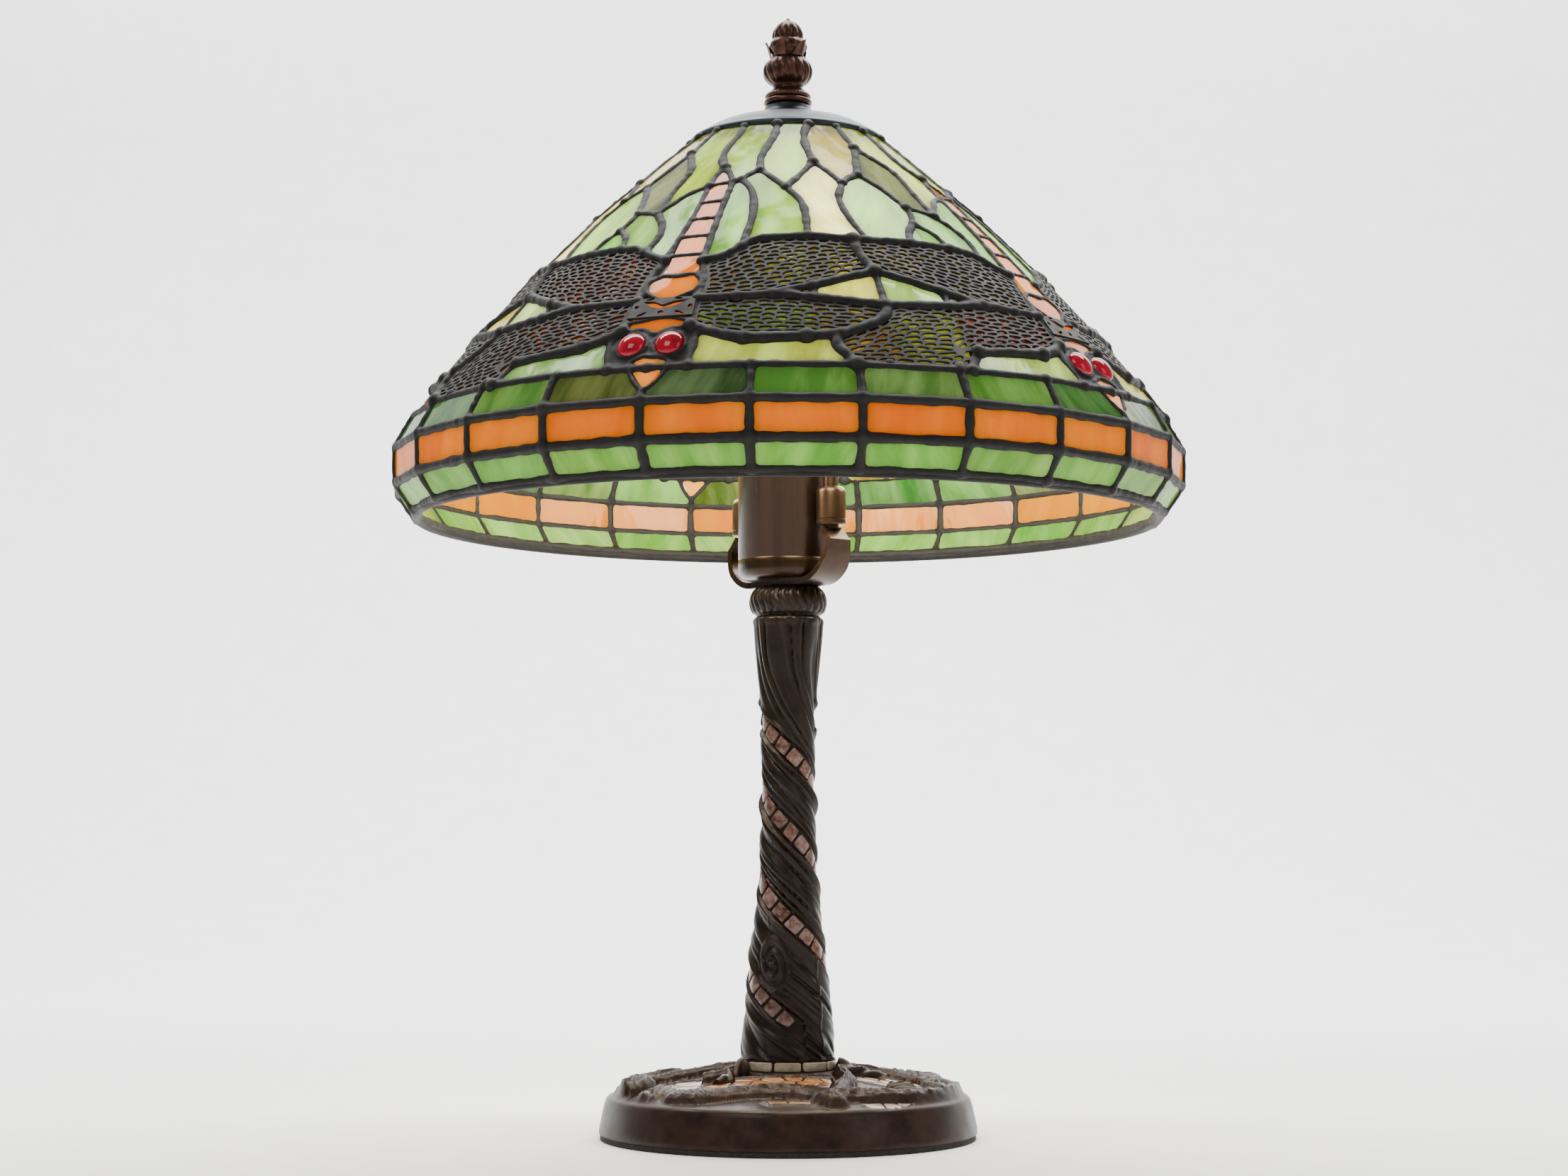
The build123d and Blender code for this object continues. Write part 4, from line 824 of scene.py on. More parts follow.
def wing_grain(upper, lower):
    """Sample places over a wing and the direction that it runs in there."""
    upper = smooth_line(upper, 1.5)
    lower = smooth_line(lower, 1.5)

    def place(u, v):
        top = along_line(upper, u)
        low = along_line(lower, u)
        across = (top[0] + (low[0] - top[0]) * v) * WING_SCALE
        return np.array((across, top[1] + (low[1] - top[1]) * v))

    places = []
    turns = []
    columns = 24
    rows = 8
    for i in range(columns):
        for j in range(rows):
            u = i / columns
            v = (j + 0.5) / rows
            here = place(u, v)
            step = place(min(u + 0.04, 1), v) - here
            places.append(here)
            turns.append(atan2(step[1], step[0]))
    return np.array(places), np.array(turns)


def hole_metric(point, grain):
    """How distance is counted round a point, so that holes come out long along the wing."""
    places, turns = grain
    turn = turns[((places - point) ** 2).sum(1).argmin()]
    along = np.array((cos(turn), sin(turn)))
    across = np.array((-sin(turn), cos(turn)))
    return np.outer(along, along) / HOLE_LENGTH ** 2 + np.outer(across, across) / HOLE_WIDTH ** 2


def wing_holes(outline, grain, draw):
    """Oblong cells packed over a wing, with thin strands left between them."""
    xs = [p[0] for p in outline]
    ys = [p[1] for p in outline]
    seeds = []
    metrics = []
    for _ in range(5000):
        point = np.array((draw.uniform(min(xs), max(xs)), draw.uniform(min(ys), max(ys))))
        if not inside(outline, *point) or edge_distance(outline, *point) < EDGE_STRIP:
            continue
        metric = hole_metric(point, grain)
        if seeds:
            gaps = np.array(seeds) - point
            if (np.einsum("ij,jk,ik->i", gaps, metric, gaps) < draw.uniform(0.45, 0.85)).any():
                continue
        seeds.append(point)
        metrics.append(metric)
    for _ in range(2):
        cells = pack_cells(outline, seeds, metrics)
        seeds = [np.mean(cell, axis=0) if len(cell) > 2 else seed for cell, seed in zip(cells, seeds)]
        metrics = [hole_metric(seed, grain) for seed in seeds]
    holes = []
    for cell in pack_cells(outline, seeds, metrics):
        if abs(signed_area(cell)) / 2 > SMALLEST_HOLE:
            holes.append(softened(cell, 0.8, 1))
    return holes


def pack_cells(outline, seeds, metrics):
    """The cell round each seed, less half a strand on every side."""
    edges = [(np.array(p), np.array(q)) for p, q in zip(outline, outline[1:] + outline[:1])]
    turned_left = signed_area(outline) > 0
    cells = []
    for seed, metric in zip(seeds, metrics):
        x, y = seed
        cell = [(x - 4, y - 4), (x + 4, y - 4), (x + 4, y + 4), (x - 4, y + 4)]
        for other, near in zip(seeds, metrics):
            gap = other - seed
            if 0 < gap @ gap < 60 and cell:
                direction = (metric + near) @ gap
                direction /= np.linalg.norm(direction)
                cell = clip_half(cell, (seed + other) / 2 - direction * STRAND / 2, direction)
        for p, q in edges:
            middle = (p + q) / 2
            if np.hypot(*(middle - seed)) < 7 and cell:
                side = q - p
                inward = np.array((-side[1], side[0])) / max(np.linalg.norm(side), 1e-6)
                if not turned_left:
                    inward = -inward
                if (seed - middle) @ inward > 0:
                    cell = clip_half(cell, middle + inward * EDGE_STRIP, -inward)
        cells.append(cell)
    return cells


def oval(angle, slant, half_angle, half_slant, turn=0.0):
    """A small oval hole."""
    points = []
    for k in range(10):
        t = 2 * pi * k / 10
        p = half_angle * WAIST_SCALE * cos(t)
        q = half_slant * sin(t)
        points.append((angle + (p * cos(turn) - q * sin(turn)) / WAIST_SCALE,
                       slant + p * sin(turn) + q * cos(turn)))
    return points


def filigree_pieces():
    """The pierced sheets over all the wings and the dragonflies' waists, one piece for each repeat."""
    sheet = Heap()
    draw = random.Random(5)
    for (upper, lower), loop in zip(WINGS, WING_LOOPS):
        outline = loop_points(loop, 2.5)
        flat = [(a * WING_SCALE, s) for a, s in outline]
        holes = wing_holes(flat, wing_grain(upper, lower), draw)
        cut = [[(x / WING_SCALE, y) for x, y in hole] for hole in holes]
        plate_part(sheet, outline, cut, 0.8, 1.7, WING_SCALE, 0)
    chevron = [(-4.4, 123.2), (-2.4, 123.6), (-0.8, 125.6), (1.0, 123.8), (3.6, 123.2), (1.4, 126.4),
               (-0.8, 127.6),
               (-2.6, 126.6)]
    dots = [oval(-3.3, 122.3, 0.75, 0.6, -0.2), oval(1.6, 122.4, 0.75, 0.6, 0.2),
            oval(-5.2, 126, 0.4, 0.9),
            oval(3.9, 127, 0.4, 1.1), oval(-0.7, 129.6, 0.5, 0.9), oval(-3.8, 130.2, 0.9, 0.7, -0.5),
            oval(2.4, 130.3, 0.9, 0.7, 0.5)]
    plate_part(sheet, dense(WAIST, 2.5), [chevron] + dots, 1.5, 2.5, 2.3, 0)
    base = np.array(sheet.points)
    pieces = []
    for k in range(REPEATS):
        whole = Heap()
        whole.add(turned(base, k * REPEAT_ANGLE), sheet.faces)
        pieces.append(sharpen(whole.build("filigree_" + str(k + 1)), 40))
    return pieces


# --- turned and relief pieces ------------------------------------------------------------------------
def arc3(p, q, r, steps=10):
    """Points on the circle through three points, from the first to the last."""
    (ax, ay), (bx, by), (cx, cy) = p, q, r
    d = 2 * (ax * (by - cy) + bx * (cy - ay) + cx * (ay - by))
    a2, b2, c2 = ax ** 2 + ay ** 2, bx ** 2 + by ** 2, cx ** 2 + cy ** 2
    ux = (a2 * (by - cy) + b2 * (cy - ay) + c2 * (ay - by)) / d
    uy = (a2 * (cx - bx) + b2 * (ax - cx) + c2 * (bx - ax)) / d
    radius = hypot(ax - ux, ay - uy)
    a0 = atan2(ay - uy, ax - ux)
    a1 = atan2(by - uy, bx - ux)
    a2 = atan2(cy - uy, cx - ux)
    forward = (a1 - a0) % (2 * pi) < (a2 - a0) % (2 * pi)
    sweep = (a2 - a0) % (2 * pi) if forward else -((a0 - a2) % (2 * pi))
    return [(ux + radius * cos(a0 + sweep * i / steps), uy + radius * sin(a0 + sweep * i / steps))
            for i in range(steps + 1)]


def cap_piece():
    """Spun cap: boss, flared cone and rolled lip."""
    profile = [(3.5, 399.2), (3.5, 404.0), (8.4, 404.0), (9.0, 403.7), (9.3, 403.0), (9.6, 402.2)]
    profile += arc3((9.9, 401.6), (13.6, 399.1), (21.4, 397.3), 12)[:-1]
    profile += arc3((21.4, 397.3), (31.0, 394.0), (36.6, 390.1), 10)
    profile += arc3((37.4, 389.9), (39.1, 388.3), (37.9, 386.5), 8)
    profile += [(36.9, 386.6), (36.4, 387.6)] + arc3((36.0, 388.2), (30.2, 392.8), (21.0, 396.0), 8)
    profile += [(15.0, 397.0), (9.2, 397.6), (8.2, 398.9)]
    return lathe("turned_cap", profile, 160, 0.12)


FINIAL_OUTLINE = ([(8.0, 404.15), (9.0, 404.3), (9.5, 405.0), (9.5, 405.9), (9.2, 406.4), (8.6, 406.6),
                   (8.5, 406.9),
                   (8.9, 407.2), (9.1, 407.8), (8.8, 408.6), (8.1, 409.3)]
                  + arc3((7.6, 409.8), (5.9, 411.6), (7.2, 413.2), 8)
                  + arc3((7.9, 413.7), (9.6, 418.2), (7.3, 422.9), 16)
                  + arc3((7.0, 423.2), (6.2, 424.6), (6.6, 426.0), 6)
                  + arc3((6.8, 426.4), (7.4, 428.6), (6.3, 430.8), 8)
                  + arc3((6.0, 431.2), (5.4, 435.2), (1.4, 438.8), 12)
                  + [(0.9, 439.2), (0.7, 439.7), (0.35, 440.0), (0.0, 440.05)])


# Half of the way across a sepal, and how far that stands out, round its section.
SEPAL_SECTION = ((-1, 0), (-0.5, 0.35), (0, 0.6), (0.5, 0.35), (1, 0), (0.5, -0.3), (0, -0.45),
                 (-0.5, -0.3))
SEPALS = 5


def finial_piece():
    """Finial with a swirling gadrooned ball, a calyx and a fluted bud."""
    segments = 192
    levels = []
    for (r0, z0), (r1, z1) in zip(FINIAL_OUTLINE, FINIAL_OUTLINE[1:]):
        count = max(1, int(hypot(r1 - r0, z1 - z0) / 0.35))
        levels += [(r0 + (r1 - r0) * i / count, z0 + (z1 - z0) * i / count) for i in range(count)]
    levels.append(FINIAL_OUTLINE[-1])
    levels = [(4.9, 404.15)] + levels
    points = []
    for r, z in levels:
        for j in range(segments):
            a = 2 * pi * j / segments
            ball = max(0, 1 - ((z - 418.2) / 5.6) ** 2)
            calyx = max(0, 1 - ((z - 428.4) / 3.0) ** 2)
            bud = min(1, max(0, (z - 430.8) / 1.5)) * min(1, max(0, (439.6 - z) / 1.5))
            swirl = a * 16 + (z - 418) * 0.34
            ridge = abs(sin(swirl / 2)) ** 0.7 - 0.62
            leaf = abs(sin(a * 2.5 + (z - 418) * 0.12)) ** 0.6 - 0.6
            flute = abs(sin(a * 4.5 + (z - 431) * 0.05)) ** 0.8 - 0.6
            out = (r + ball * (0.80 * ridge + 0.25 * leaf) + calyx * (0.6 * leaf + 0.2 * ridge)
                   + bud * 0.7 * flute)
            if z < 409:
                out += 0.10 * sin(a * 40) * max(0, 1 - abs(z - 408.0))
            out += 0.08 * noise.noise(Vector((cos(a) * 4, sin(a) * 4, z * 0.9)))
            out = max(out, 0)
            points.append((out * cos(a), out * sin(a), z))
    heap = Heap()
    heap.add(points, grid_faces(len(levels), segments))
    heap.faces.append(tuple(range(segments))[::-1])
    for k in range(SEPALS):
        base = 2 * pi * (k + 0.3) / SEPALS
        rows = []
        steps = 12
        for i in range(steps + 1):
            t = i / steps
            z = 423.6 + 7.2 * t - 3.0 * max(0, t - 0.75)
            reach = 6.7 + 1.2 * sin(t * pi * 0.5) + 2.1 * max(0, t - 0.55) ** 1.3
            wide = 2.7 * (1 - t ** 2.2) + 0.15
            for side, thick_here in SEPAL_SECTION:
                turn = base + side * wide / reach + 0.25 * t
                rows.append(((reach + thick_here) * cos(turn), (reach + thick_here) * sin(turn), z))
        sides = len(SEPAL_SECTION)
        heap.add(rows, grid_faces(steps + 1, sides) + end_caps(steps + 1, sides))
    return sharpen(heap.build("cast_finial"), 60)


STEM_OUTLINE = [(18.0, 30.5), (16.9, 44.5), (14.2, 72.0), (11.3, 97.0), (10.1, 130.0), (10.3, 165.0),
                (12.6, 192.0),
                (13.2, 199.5), (13.25, 200.5)]
KNOP = arc3((13.3, 201.2), (14.9, 207.0), (12.3, 212.0), 12)


def stem_radius(z):
    """Radius of the trunk at heights."""
    line = smooth_line(STEM_OUTLINE, 2.0) + KNOP
    return np.interp(z, [p[1] for p in line], [p[0] for p in line])


def spiral_height(half_turns):
    """Height of a mosaic band's centre after a number of half turns."""
    return SPIRAL_Z[0] + SPIRAL_Z[1] * half_turns + SPIRAL_Z[2] * half_turns ** 2


def band_distance(angle, z):
    """Distance across the nearest coil of the two bands, positive above it."""
    best = np.full(np.broadcast(angle, z).shape, 99.0)
    for coil in range(-2, 6):
        half_turns = angle / pi + coil
        gap = z - spiral_height(half_turns)
        slope = (SPIRAL_Z[1] + 2 * SPIRAL_Z[2] * half_turns) / (pi * stem_radius(z))
        gap = gap / np.sqrt(1 + slope ** 2)
        gap = np.where((half_turns > BAND_HALF_TURNS[0]) & (half_turns < BAND_HALF_TURNS[1]), gap, 99.0)
        gap = np.where((half_turns - coil <= 1) & (half_turns - coil >= -1), gap, 99.0)
        best = np.where(np.abs(gap) < np.abs(best), gap, best)
    return best


def fractal(x, y, z, scale, seed):
    """Smooth noise at arrays of points."""
    flat = np.stack([np.ravel(x), np.ravel(y), np.ravel(z)], -1) * scale + seed
    values = [noise.noise(Vector(p)) for p in flat]
    return np.array(values).reshape(np.shape(x))


def stem_lean(z):
    """Angle that the bark has twisted through on its way down to heights."""
    heights = np.arange(212.0, 29.0, -0.5)
    inner = SPIRAL_Z[1] ** 2 - 4 * SPIRAL_Z[2] * (SPIRAL_Z[0] - heights)
    half_turns = (-SPIRAL_Z[1] - np.sqrt(np.maximum(inner, 1)))
    half_turns = half_turns / (2 * SPIRAL_Z[2])
    rate = np.gradient(half_turns, heights) * pi
    share = np.clip((186 - heights) / 50, 0, 1)
    lean = np.cumsum(rate * share * -0.5)
    return np.interp(z, heights[::-1], lean[::-1])


def strand(phase, sharpness=0.6):
    """Rounded ridges with narrow valleys."""
    return np.abs(np.sin(phase / 2)) ** sharpness - 0.68


def stem_relief(angle, z):
    """How far the bark stands out from the trunk."""
    lean = stem_lean(z)
    cx = np.cos(angle - lean)
    cy = np.sin(angle - lean)
    warp = fractal(cx * 1.3, cy * 1.3, z * 0.016, 1.0, 3.1)
    fine = fractal(cx * 3.0, cy * 3.0, z * 0.035, 1.0, 9.7)
    flow = angle - lean
    major = strand(flow * 9 + warp * 7.0 + np.sin(z * 0.07) * 0.8, 0.55)
    minor = strand(flow * 19 + warp * 11 + fine * 3.0 + 1.0)
    trunk = 1.55 * major + 0.50 * minor + 0.40 * fine + 0.45 * warp
    knop_flow = angle * 26 + 1.7 * np.sin((z - 206) * 0.62) + 1.2 * warp
    knop = 0.95 * strand(knop_flow) * np.clip((z - 200.6) / 1.5, 0, 1) * np.clip((212.2 - z) / 1.5, 0.2,
                                                                                 1)
    finger = np.clip((200.4 - z) / 3.5, 0, 1)
    start = 0.5 + 0.7 * (strand(flow * 18 + warp * 3) + 0.2)
    pinch = -1.0 * np.exp(-((z - 200.7) / 0.8) ** 2)
    out = np.where(z > 200.6, knop, trunk * finger + start * finger * (1 - finger) * 2) + pinch
    gap = np.abs(band_distance(angle, z))
    lip = 0.65 * np.exp(-((gap - 4.3) / 0.8) ** 2)
    bed = np.clip((4.0 - gap) / 0.7, 0, 1)
    knots = np.zeros(np.shape(out))
    for knot_angle, knot_z, wide, tall in ((-0.42, 67, 7.2, 12.0), (2.4, 118, 4.5, 9.0),
                                           (-2.6, 64, 6, 9)):
        across = np.angle(np.exp(1j * (angle - knot_angle))) * 14.5 / wide
        up = (z - knot_z) / tall + across * 0.18
        d = np.hypot(across, up)
        swirl = np.arctan2(up, across)
        rings = 0.75 * np.cos(d * 15 + swirl * 0.8) * np.clip(1.3 - d, 0, 1)
        here = np.clip((1.05 - d) * 4, 0, 1)
        out = out * (1 - here) + (rings + 0.35) * here
        knots = np.maximum(knots, here)
    out = np.where(z < 199, out * (1 - bed) + lip * (1 - bed) - 1.05 * bed, out)
    for seam_angle, low, high, rise in ((0.82, 33, 76, 0.55), (-0.62, 62, 150, 0.22)):
        seam = np.exp(-((np.angle(np.exp(1j * (angle - seam_angle))) * 14) / 0.4) ** 2)
        out = out + rise * seam * np.clip((high - z) / 6, 0, 1) * np.clip((z - low) / 3, 0,
                                                                          1) * (1 - bed)
    return out * np.clip((z - 30.3) / 2, 0.35, 1)


def stem_piece():
    """The trunk: twisted bark with a sunk band for the mosaic."""
    segments = 240
    heights = np.concatenate([np.arange(30.5, 199, 0.62), np.arange(199, 212.01, 0.42), [212.15]])
    angle, z = np.meshgrid(np.arange(segments) * 2 * pi / segments, heights)
    front = angle - pi
    r = stem_radius(z) + stem_relief(front, z)
    points = np.stack([r * np.sin(front), -r * np.cos(front), z], -1)
    points[0, :, 2] += 0.35 * np.sin(angle[0] * 9)
    rings = [[(4.95 * sin(t), -4.95 * cos(t), 30.6) for t in front[0]]]
    rings += [[tuple(p) for p in row] for row in points]
    rings.append([(4.95 * sin(t), -4.95 * cos(t), 212.2) for t in front[0]])
    heap = Heap()
    faces = grid_faces(len(rings), segments) + last_to_first(len(rings), segments)
    heap.add([p for ring in rings for p in ring], faces)
    return sharpen(heap.build("bark_trunk"), 70)


# Colours of the stem's tiles, all darkened by one factor.
TILE_SHADE = 0.6
TILE_COLOURS = [tuple(round(TILE_SHADE * value, 3) for value in colour) for colour in (
    (0.17, 0.060, 0.050), (0.17, 0.052, 0.020), (0.085, 0.012, 0.004), (0.13, 0.030, 0.010),
    (0.21, 0.10, 0.095), (0.10, 0.022, 0.008))]


def cushion(heap, outline, place, tint, height, seed):
    """One tile: a flat piece with softened edges. place maps plan points and a lift to a position."""
    if signed_area(outline) < 0:
        outline = outline[::-1]
    middle = np.mean(outline, axis=0)
    rings = []
    for shrink, lift in ((0.0, -1.0), (0.0, height - 0.35), (0.22, height - 0.08), (0.5, height)):
        ring = []
        for x, y in outline:
            reach = hypot(x - middle[0], y - middle[1])
            share = max(0.2, 1 - shrink / max(reach, 0.3))
            ring.append(place(middle[0] + (x - middle[0]) * share, middle[1] + (y - middle[1]) * share,
                              lift))
        rings.extend(ring)
    count = len(outline)
    faces = grid_faces(4, count)
    rings.append(place(middle[0], middle[1], height + 0.05))
    centre = len(rings) - 1
    faces += [(3 * count + j, 3 * count + (j + 1) % count, centre) for j in range(count)]
    faces.append(tuple(range(count))[::-1])
    heap.add(rings, faces, tint, [(p[0] + seed * 3.1, p[1], p[2]) for p in rings])


def softened(corners, radius=0.7, steps=3):
    """A polygon with rounded corners."""
    out = []
    count = len(corners)
    for i in range(count):
        before, here, after = (np.array(corners[(i + k - 1) % count], float) for k in range(3))
        into = before - here
        away = after - here
        reach = min(radius, np.linalg.norm(into) * 0.4, np.linalg.norm(away) * 0.4)
        start = here + into / max(np.linalg.norm(into), 1e-6) * reach
        end = here + away / max(np.linalg.norm(away), 1e-6) * reach
        for k in range(steps + 1):
            t = k / steps
            out.append(tuple(start * (1 - t) ** 2 + here * 2 * t * (1 - t) + end * t ** 2))
    return out


def stem_tile_piece():
    """The mosaic bands winding down the trunk."""
    heap = Heap()
    draw = random.Random(3)
    index = 0
    for start in BAND_STARTS:
        half_turns = BAND_HALF_TURNS[0] + 0.05
        while half_turns < BAND_HALF_TURNS[1] - 0.1:
            radius = float(stem_radius(spiral_height(half_turns)))
            fall = (SPIRAL_Z[1] + 2 * SPIRAL_Z[2] * half_turns) / (pi * radius)
            run = hypot(1, fall)
            length = draw.uniform(6.2, 7.8)
            step = length / (pi * radius * run)
            last = half_turns + step > BAND_HALF_TURNS[1] - 0.1
            middle = half_turns + step / 2
            half = length / 2 - 0.55
            wide = draw.uniform(2.5, 2.85)
            taper = 0.9 if last else 0.0
            skew = draw.uniform(-0.45, 0.45)
            corners = [(-half - skew, wide), (-half + skew, -wide), (half + skew, -wide + taper),
                       (half - skew, wide - taper)]

            def place(u, v, lift, middle=middle, fall=fall, run=run, radius=radius, start=start):
                t = middle + (u - v * fall) / run / (pi * radius)
                height = spiral_height(middle) + (u * fall + v) / run
                r = float(stem_radius(height)) - 0.85 + lift
                angle = pi * (t + start)
                return (r * sin(angle), -r * cos(angle), height)

            base = TILE_COLOURS[(index * 2 + draw.randint(0, 2)) % len(TILE_COLOURS)]
            cushion(heap, softened(dense(corners, 3.2), 0.5, 1), place, base, 0.75, index)
            half_turns += step
            index += 1
    return sharpen(heap.build("stem_mosaic"), 50)


def base_height(r):
    """Height of the base's plain cone at radii."""
    return np.interp(r, [19.0, 65.0, 68.4, 70.0, 72.3, 72.5], [25.0, 17.4, 16.5, 14.5, 4.0, 2.0])


# Ridges of the foot in plan: (line, half width, height).
RIDGES = [
    ([(-18, -9), (-28, -17), (-38, -21), (-46, -22)], 4.2, 4.6),
    ([(-40, -46), (-30, -50), (-18, -48), (-4, -47), (8, -50), (14, -54)], 5.6, 4.4),
    ([(14, -56), (17, -60)], 5.4, 5.4),
    ([(20, -9), (22, -24), (19, -40), (16, -54)], 3.8, 4.4),
    ([(21, -52), (34, -49), (48, -43), (58, -33), (63, -22)], 5.8, 4.8),
    ([(62, -22), (65, -12), (64, -6)], 4.6, 4.6),
    ([(-60, -20), (-57, -13)], 7.0, 7.2),
    ([(-64, -28), (-66, -12)], 3.6, 4.6),
    ([(20, 4), (34, 8), (48, 4), (62, 2)], 4.0, 4.2),
    ([(-20, 4), (-36, 8), (-50, 4), (-62, 2)], 4.0, 4.4),
    ([(-8, 19), (-22, 32), (-30, 48), (-28, 60)], 4.2, 4.6),
    ([(8, 19), (20, 34), (38, 44), (50, 42)], 4.2, 4.6),
    ([(-44, 22), (-54, 28), (-58, 34)], 4.6, 5.0),
    ([(0, 22), (4, 44), (-6, 62)], 3.8, 4.0),
    ([(48, 20), (58, 26), (58, 34)], 4.6, 5.0),
]
# Leaves of the foot: (centre, length, width, turn).
LEAVES = [((-49, -35), 13, 8.0, 0.7), ((-56, -40), 12, 5, 0.9), ((44, -30), 13, 6, -0.6),
          ((56, -8), 12, 5.5, -1.2),
          ((-56, 10), 15, 7, 1.6), ((-36, 44), 16, 7, 2.3), ((34, 52), 15, 7, 0.8),
          ((58, 14), 14, 7, 1.5),
          ((-10, 52), 14, 6, 1.2), ((44, 34), 14, 6, 0.6), ((-52, 30), 14, 6, 2.0)]
LEAF_RISE = 3.8
# Roots that lean on the collar: (angle from the front, turn on the way in).
ROOTS = [(-58, 12), (74, 10), (150, -14), (228, 12)]
# Mosaic beds as plan outlines, each with its colour family and number of pieces.
BEDS = [
    ([(-33, -27), (-20, -20), (-6, -22), (6, -22), (16, -22), (17, -36), (8, -42), (-6, -41),
      (-20, -41), (-30, -38)],
     "amber", 17),
    ([(-50, -26), (-38, -34), (-33, -27), (-32, -14), (-42, -8), (-50, -12)], "blush", 5),
    ([(26, -20), (40, -24), (52, -14), (50, 0), (34, 2), (26, -4)], "blush", 8),
    ([(26, -57), (38, -52), (46, -48), (40, -57), (30, -61)], "blush", 3),
    ([(-8, -57), (8, -58), (9, -62), (-6, -62)], "amber", 2),
    ([(-40, 14), (-26, 12), (-20, 24), (-28, 38), (-44, 34)], "amber", 9),
    ([(24, 12), (44, 10), (46, 22), (38, 36), (24, 30)], "amber", 9),
    ([(-18, 40), (-4, 34), (-4, 50), (-16, 58)], "blush", 5),
    ([(8, 46), (18, 42), (24, 54), (12, 60)], "blush", 5),
]


def to_polyline(x, y, points):
    """Distance from arrays of points to a polyline."""
    best = np.full(np.shape(x), 1e3)
    for (ax, ay), (bx, by) in zip(points, points[1:]):
        dx, dy = bx - ax, by - ay
        t = np.clip(((x - ax) * dx + (y - ay) * dy) / max(dx * dx + dy * dy, 1e-6), 0, 1)
        best = np.minimum(best, np.hypot(x - ax - dx * t, y - ay - dy * t))
    return best


def within(x, y, polygon):
    """Signed distance into a polygon: positive inside."""
    hit = np.zeros(np.shape(x), bool)
    for (x0, y0), (x1, y1) in zip(polygon, polygon[1:] + polygon[:1]):
        if y0 != y1:
            cross = ((y0 > y) != (y1 > y)) & (x < (x1 - x0) * (y - y0) / (y1 - y0) + x0)
            hit ^= cross
    near = to_polyline(x, y, polygon + polygon[:1])
    return np.where(hit, near, -near)


def base_relief(x, y):
    """Cast roots, leaves and beds on top of the base."""
    warp = fractal(x, y, 0 * x, 0.09, 2.3)
    fine = fractal(x, y, 0 * x, 0.28, 7.7)
    out = 0.28 * fine + 0.6 * warp
    swirl = np.sin((np.arctan2(y, x) * 14 + np.hypot(x, y) * 0.30 + warp * 4.5))
    out = out + 0.30 * (np.abs(swirl) ** 0.6 - 0.5)
    for (cx, cy), long, wide, turn in LEAVES:
        u = (x - cx) * cos(turn) + (y - cy) * sin(turn)
        v = -(x - cx) * sin(turn) + (y - cy) * cos(turn)
        d = np.hypot(u / long * 1.5, v / wide)
        ribs = np.abs(np.sin((np.abs(v) * 0.9 + u * 0.55) * 1.25)) ** 0.7
        vein = np.exp(-(v / 0.7) ** 2)
        leaf = LEAF_RISE * np.clip(1.1 - d, 0, 1) ** 0.5 + 0.9 * (ribs - 0.5) + 0.6 * vein
        mask = np.clip((1.05 - d) * 6, 0, 1)
        out = out * (1 - mask) + leaf * mask
    for points, wide, high in RIDGES:
        line = [(p[0], p[1]) for p in smooth_line(points, 2.0)]
        d = to_polyline(x + warp * 1.2, y + fine * 0.6, line)
        strand = high * np.sqrt(np.clip(1 - (d / wide) ** 2, 0,
                                        1)) * (0.90 + 0.07 * np.cos(d * 4) + 0.12 * fine)
        out = np.maximum(out, strand)
    for outline, _, _ in BEDS:
        depth = within(x, y, outline)
        bed = np.clip((depth + 0.4) / 0.7, 0, 1)
        lip = 0.95 * np.exp(-((depth + 0.9) / 0.8) ** 2)
        out = np.maximum(out, lip) * (1 - bed) - 0.75 * bed
    return out


def base_piece():
    """The cast foot with its relief."""
    segments = 420
    radii = [66.0, 68.2, 72.0, 72.45, 72.5, 72.4, 72.1, 71.7, 71.3, 70.8, 70.4, 70.1, 69.8, 69.3, 68.8,
             68.4]
    levels = [2.05, 2.05, 2.05, 2.3, 3.2, 4.3, 6.0, 8.0, 10.0, 12.2, 13.7, 14.6, 15.3, 15.9, 16.25,
              16.5]
    count = 84
    for i in range(count):
        radii.append(68.2 - (68.2 - 19.4) * (i + 1) / count)
        levels.append(None)
    angle = np.arange(segments) * 2 * pi / segments
    rings = []
    for r, level in zip(radii, levels):
        x = r * np.sin(angle)
        y = -r * np.cos(angle)
        if level is None:
            rise = np.clip((68.0 - r) / 2.4, 0, 1) * np.clip((r - 18.4) / 2.5, 0, 1)
            z = base_height(r) + base_relief(x, y) * rise
        else:
            z = level + 0 * x
            if 4 < level < 14:
                lump = 0.10 * fractal(x, y, z, 0.10, 5.0)
                x = x * (1 + lump / r)
                y = y * (1 + lump / r)
        rings.append(np.stack([x, y, z], -1))
    for r, z in ((18.9, 25.3), (18.5, 26.0), (17.2, 26.2), (17.2, 29.6), (18.3, 29.9), (18.4, 30.3),
                 (17.6, 30.6),
                 (5.0, 30.6), (5.0, 12.0), (62, 11.0), (65.5, 4.0)):
        rings.append(np.stack([r * np.sin(angle), -r * np.cos(angle), z + 0 * angle], -1))
    faces = grid_faces(len(rings), segments) + last_to_first(len(rings), segments)
    heap = Heap()
    heap.add(np.concatenate(rings), [f[::-1] for f in faces])
    for start, turn in ROOTS:
        rope(heap, start, turn)
    return sharpen(heap.build("cast_base"), 60)


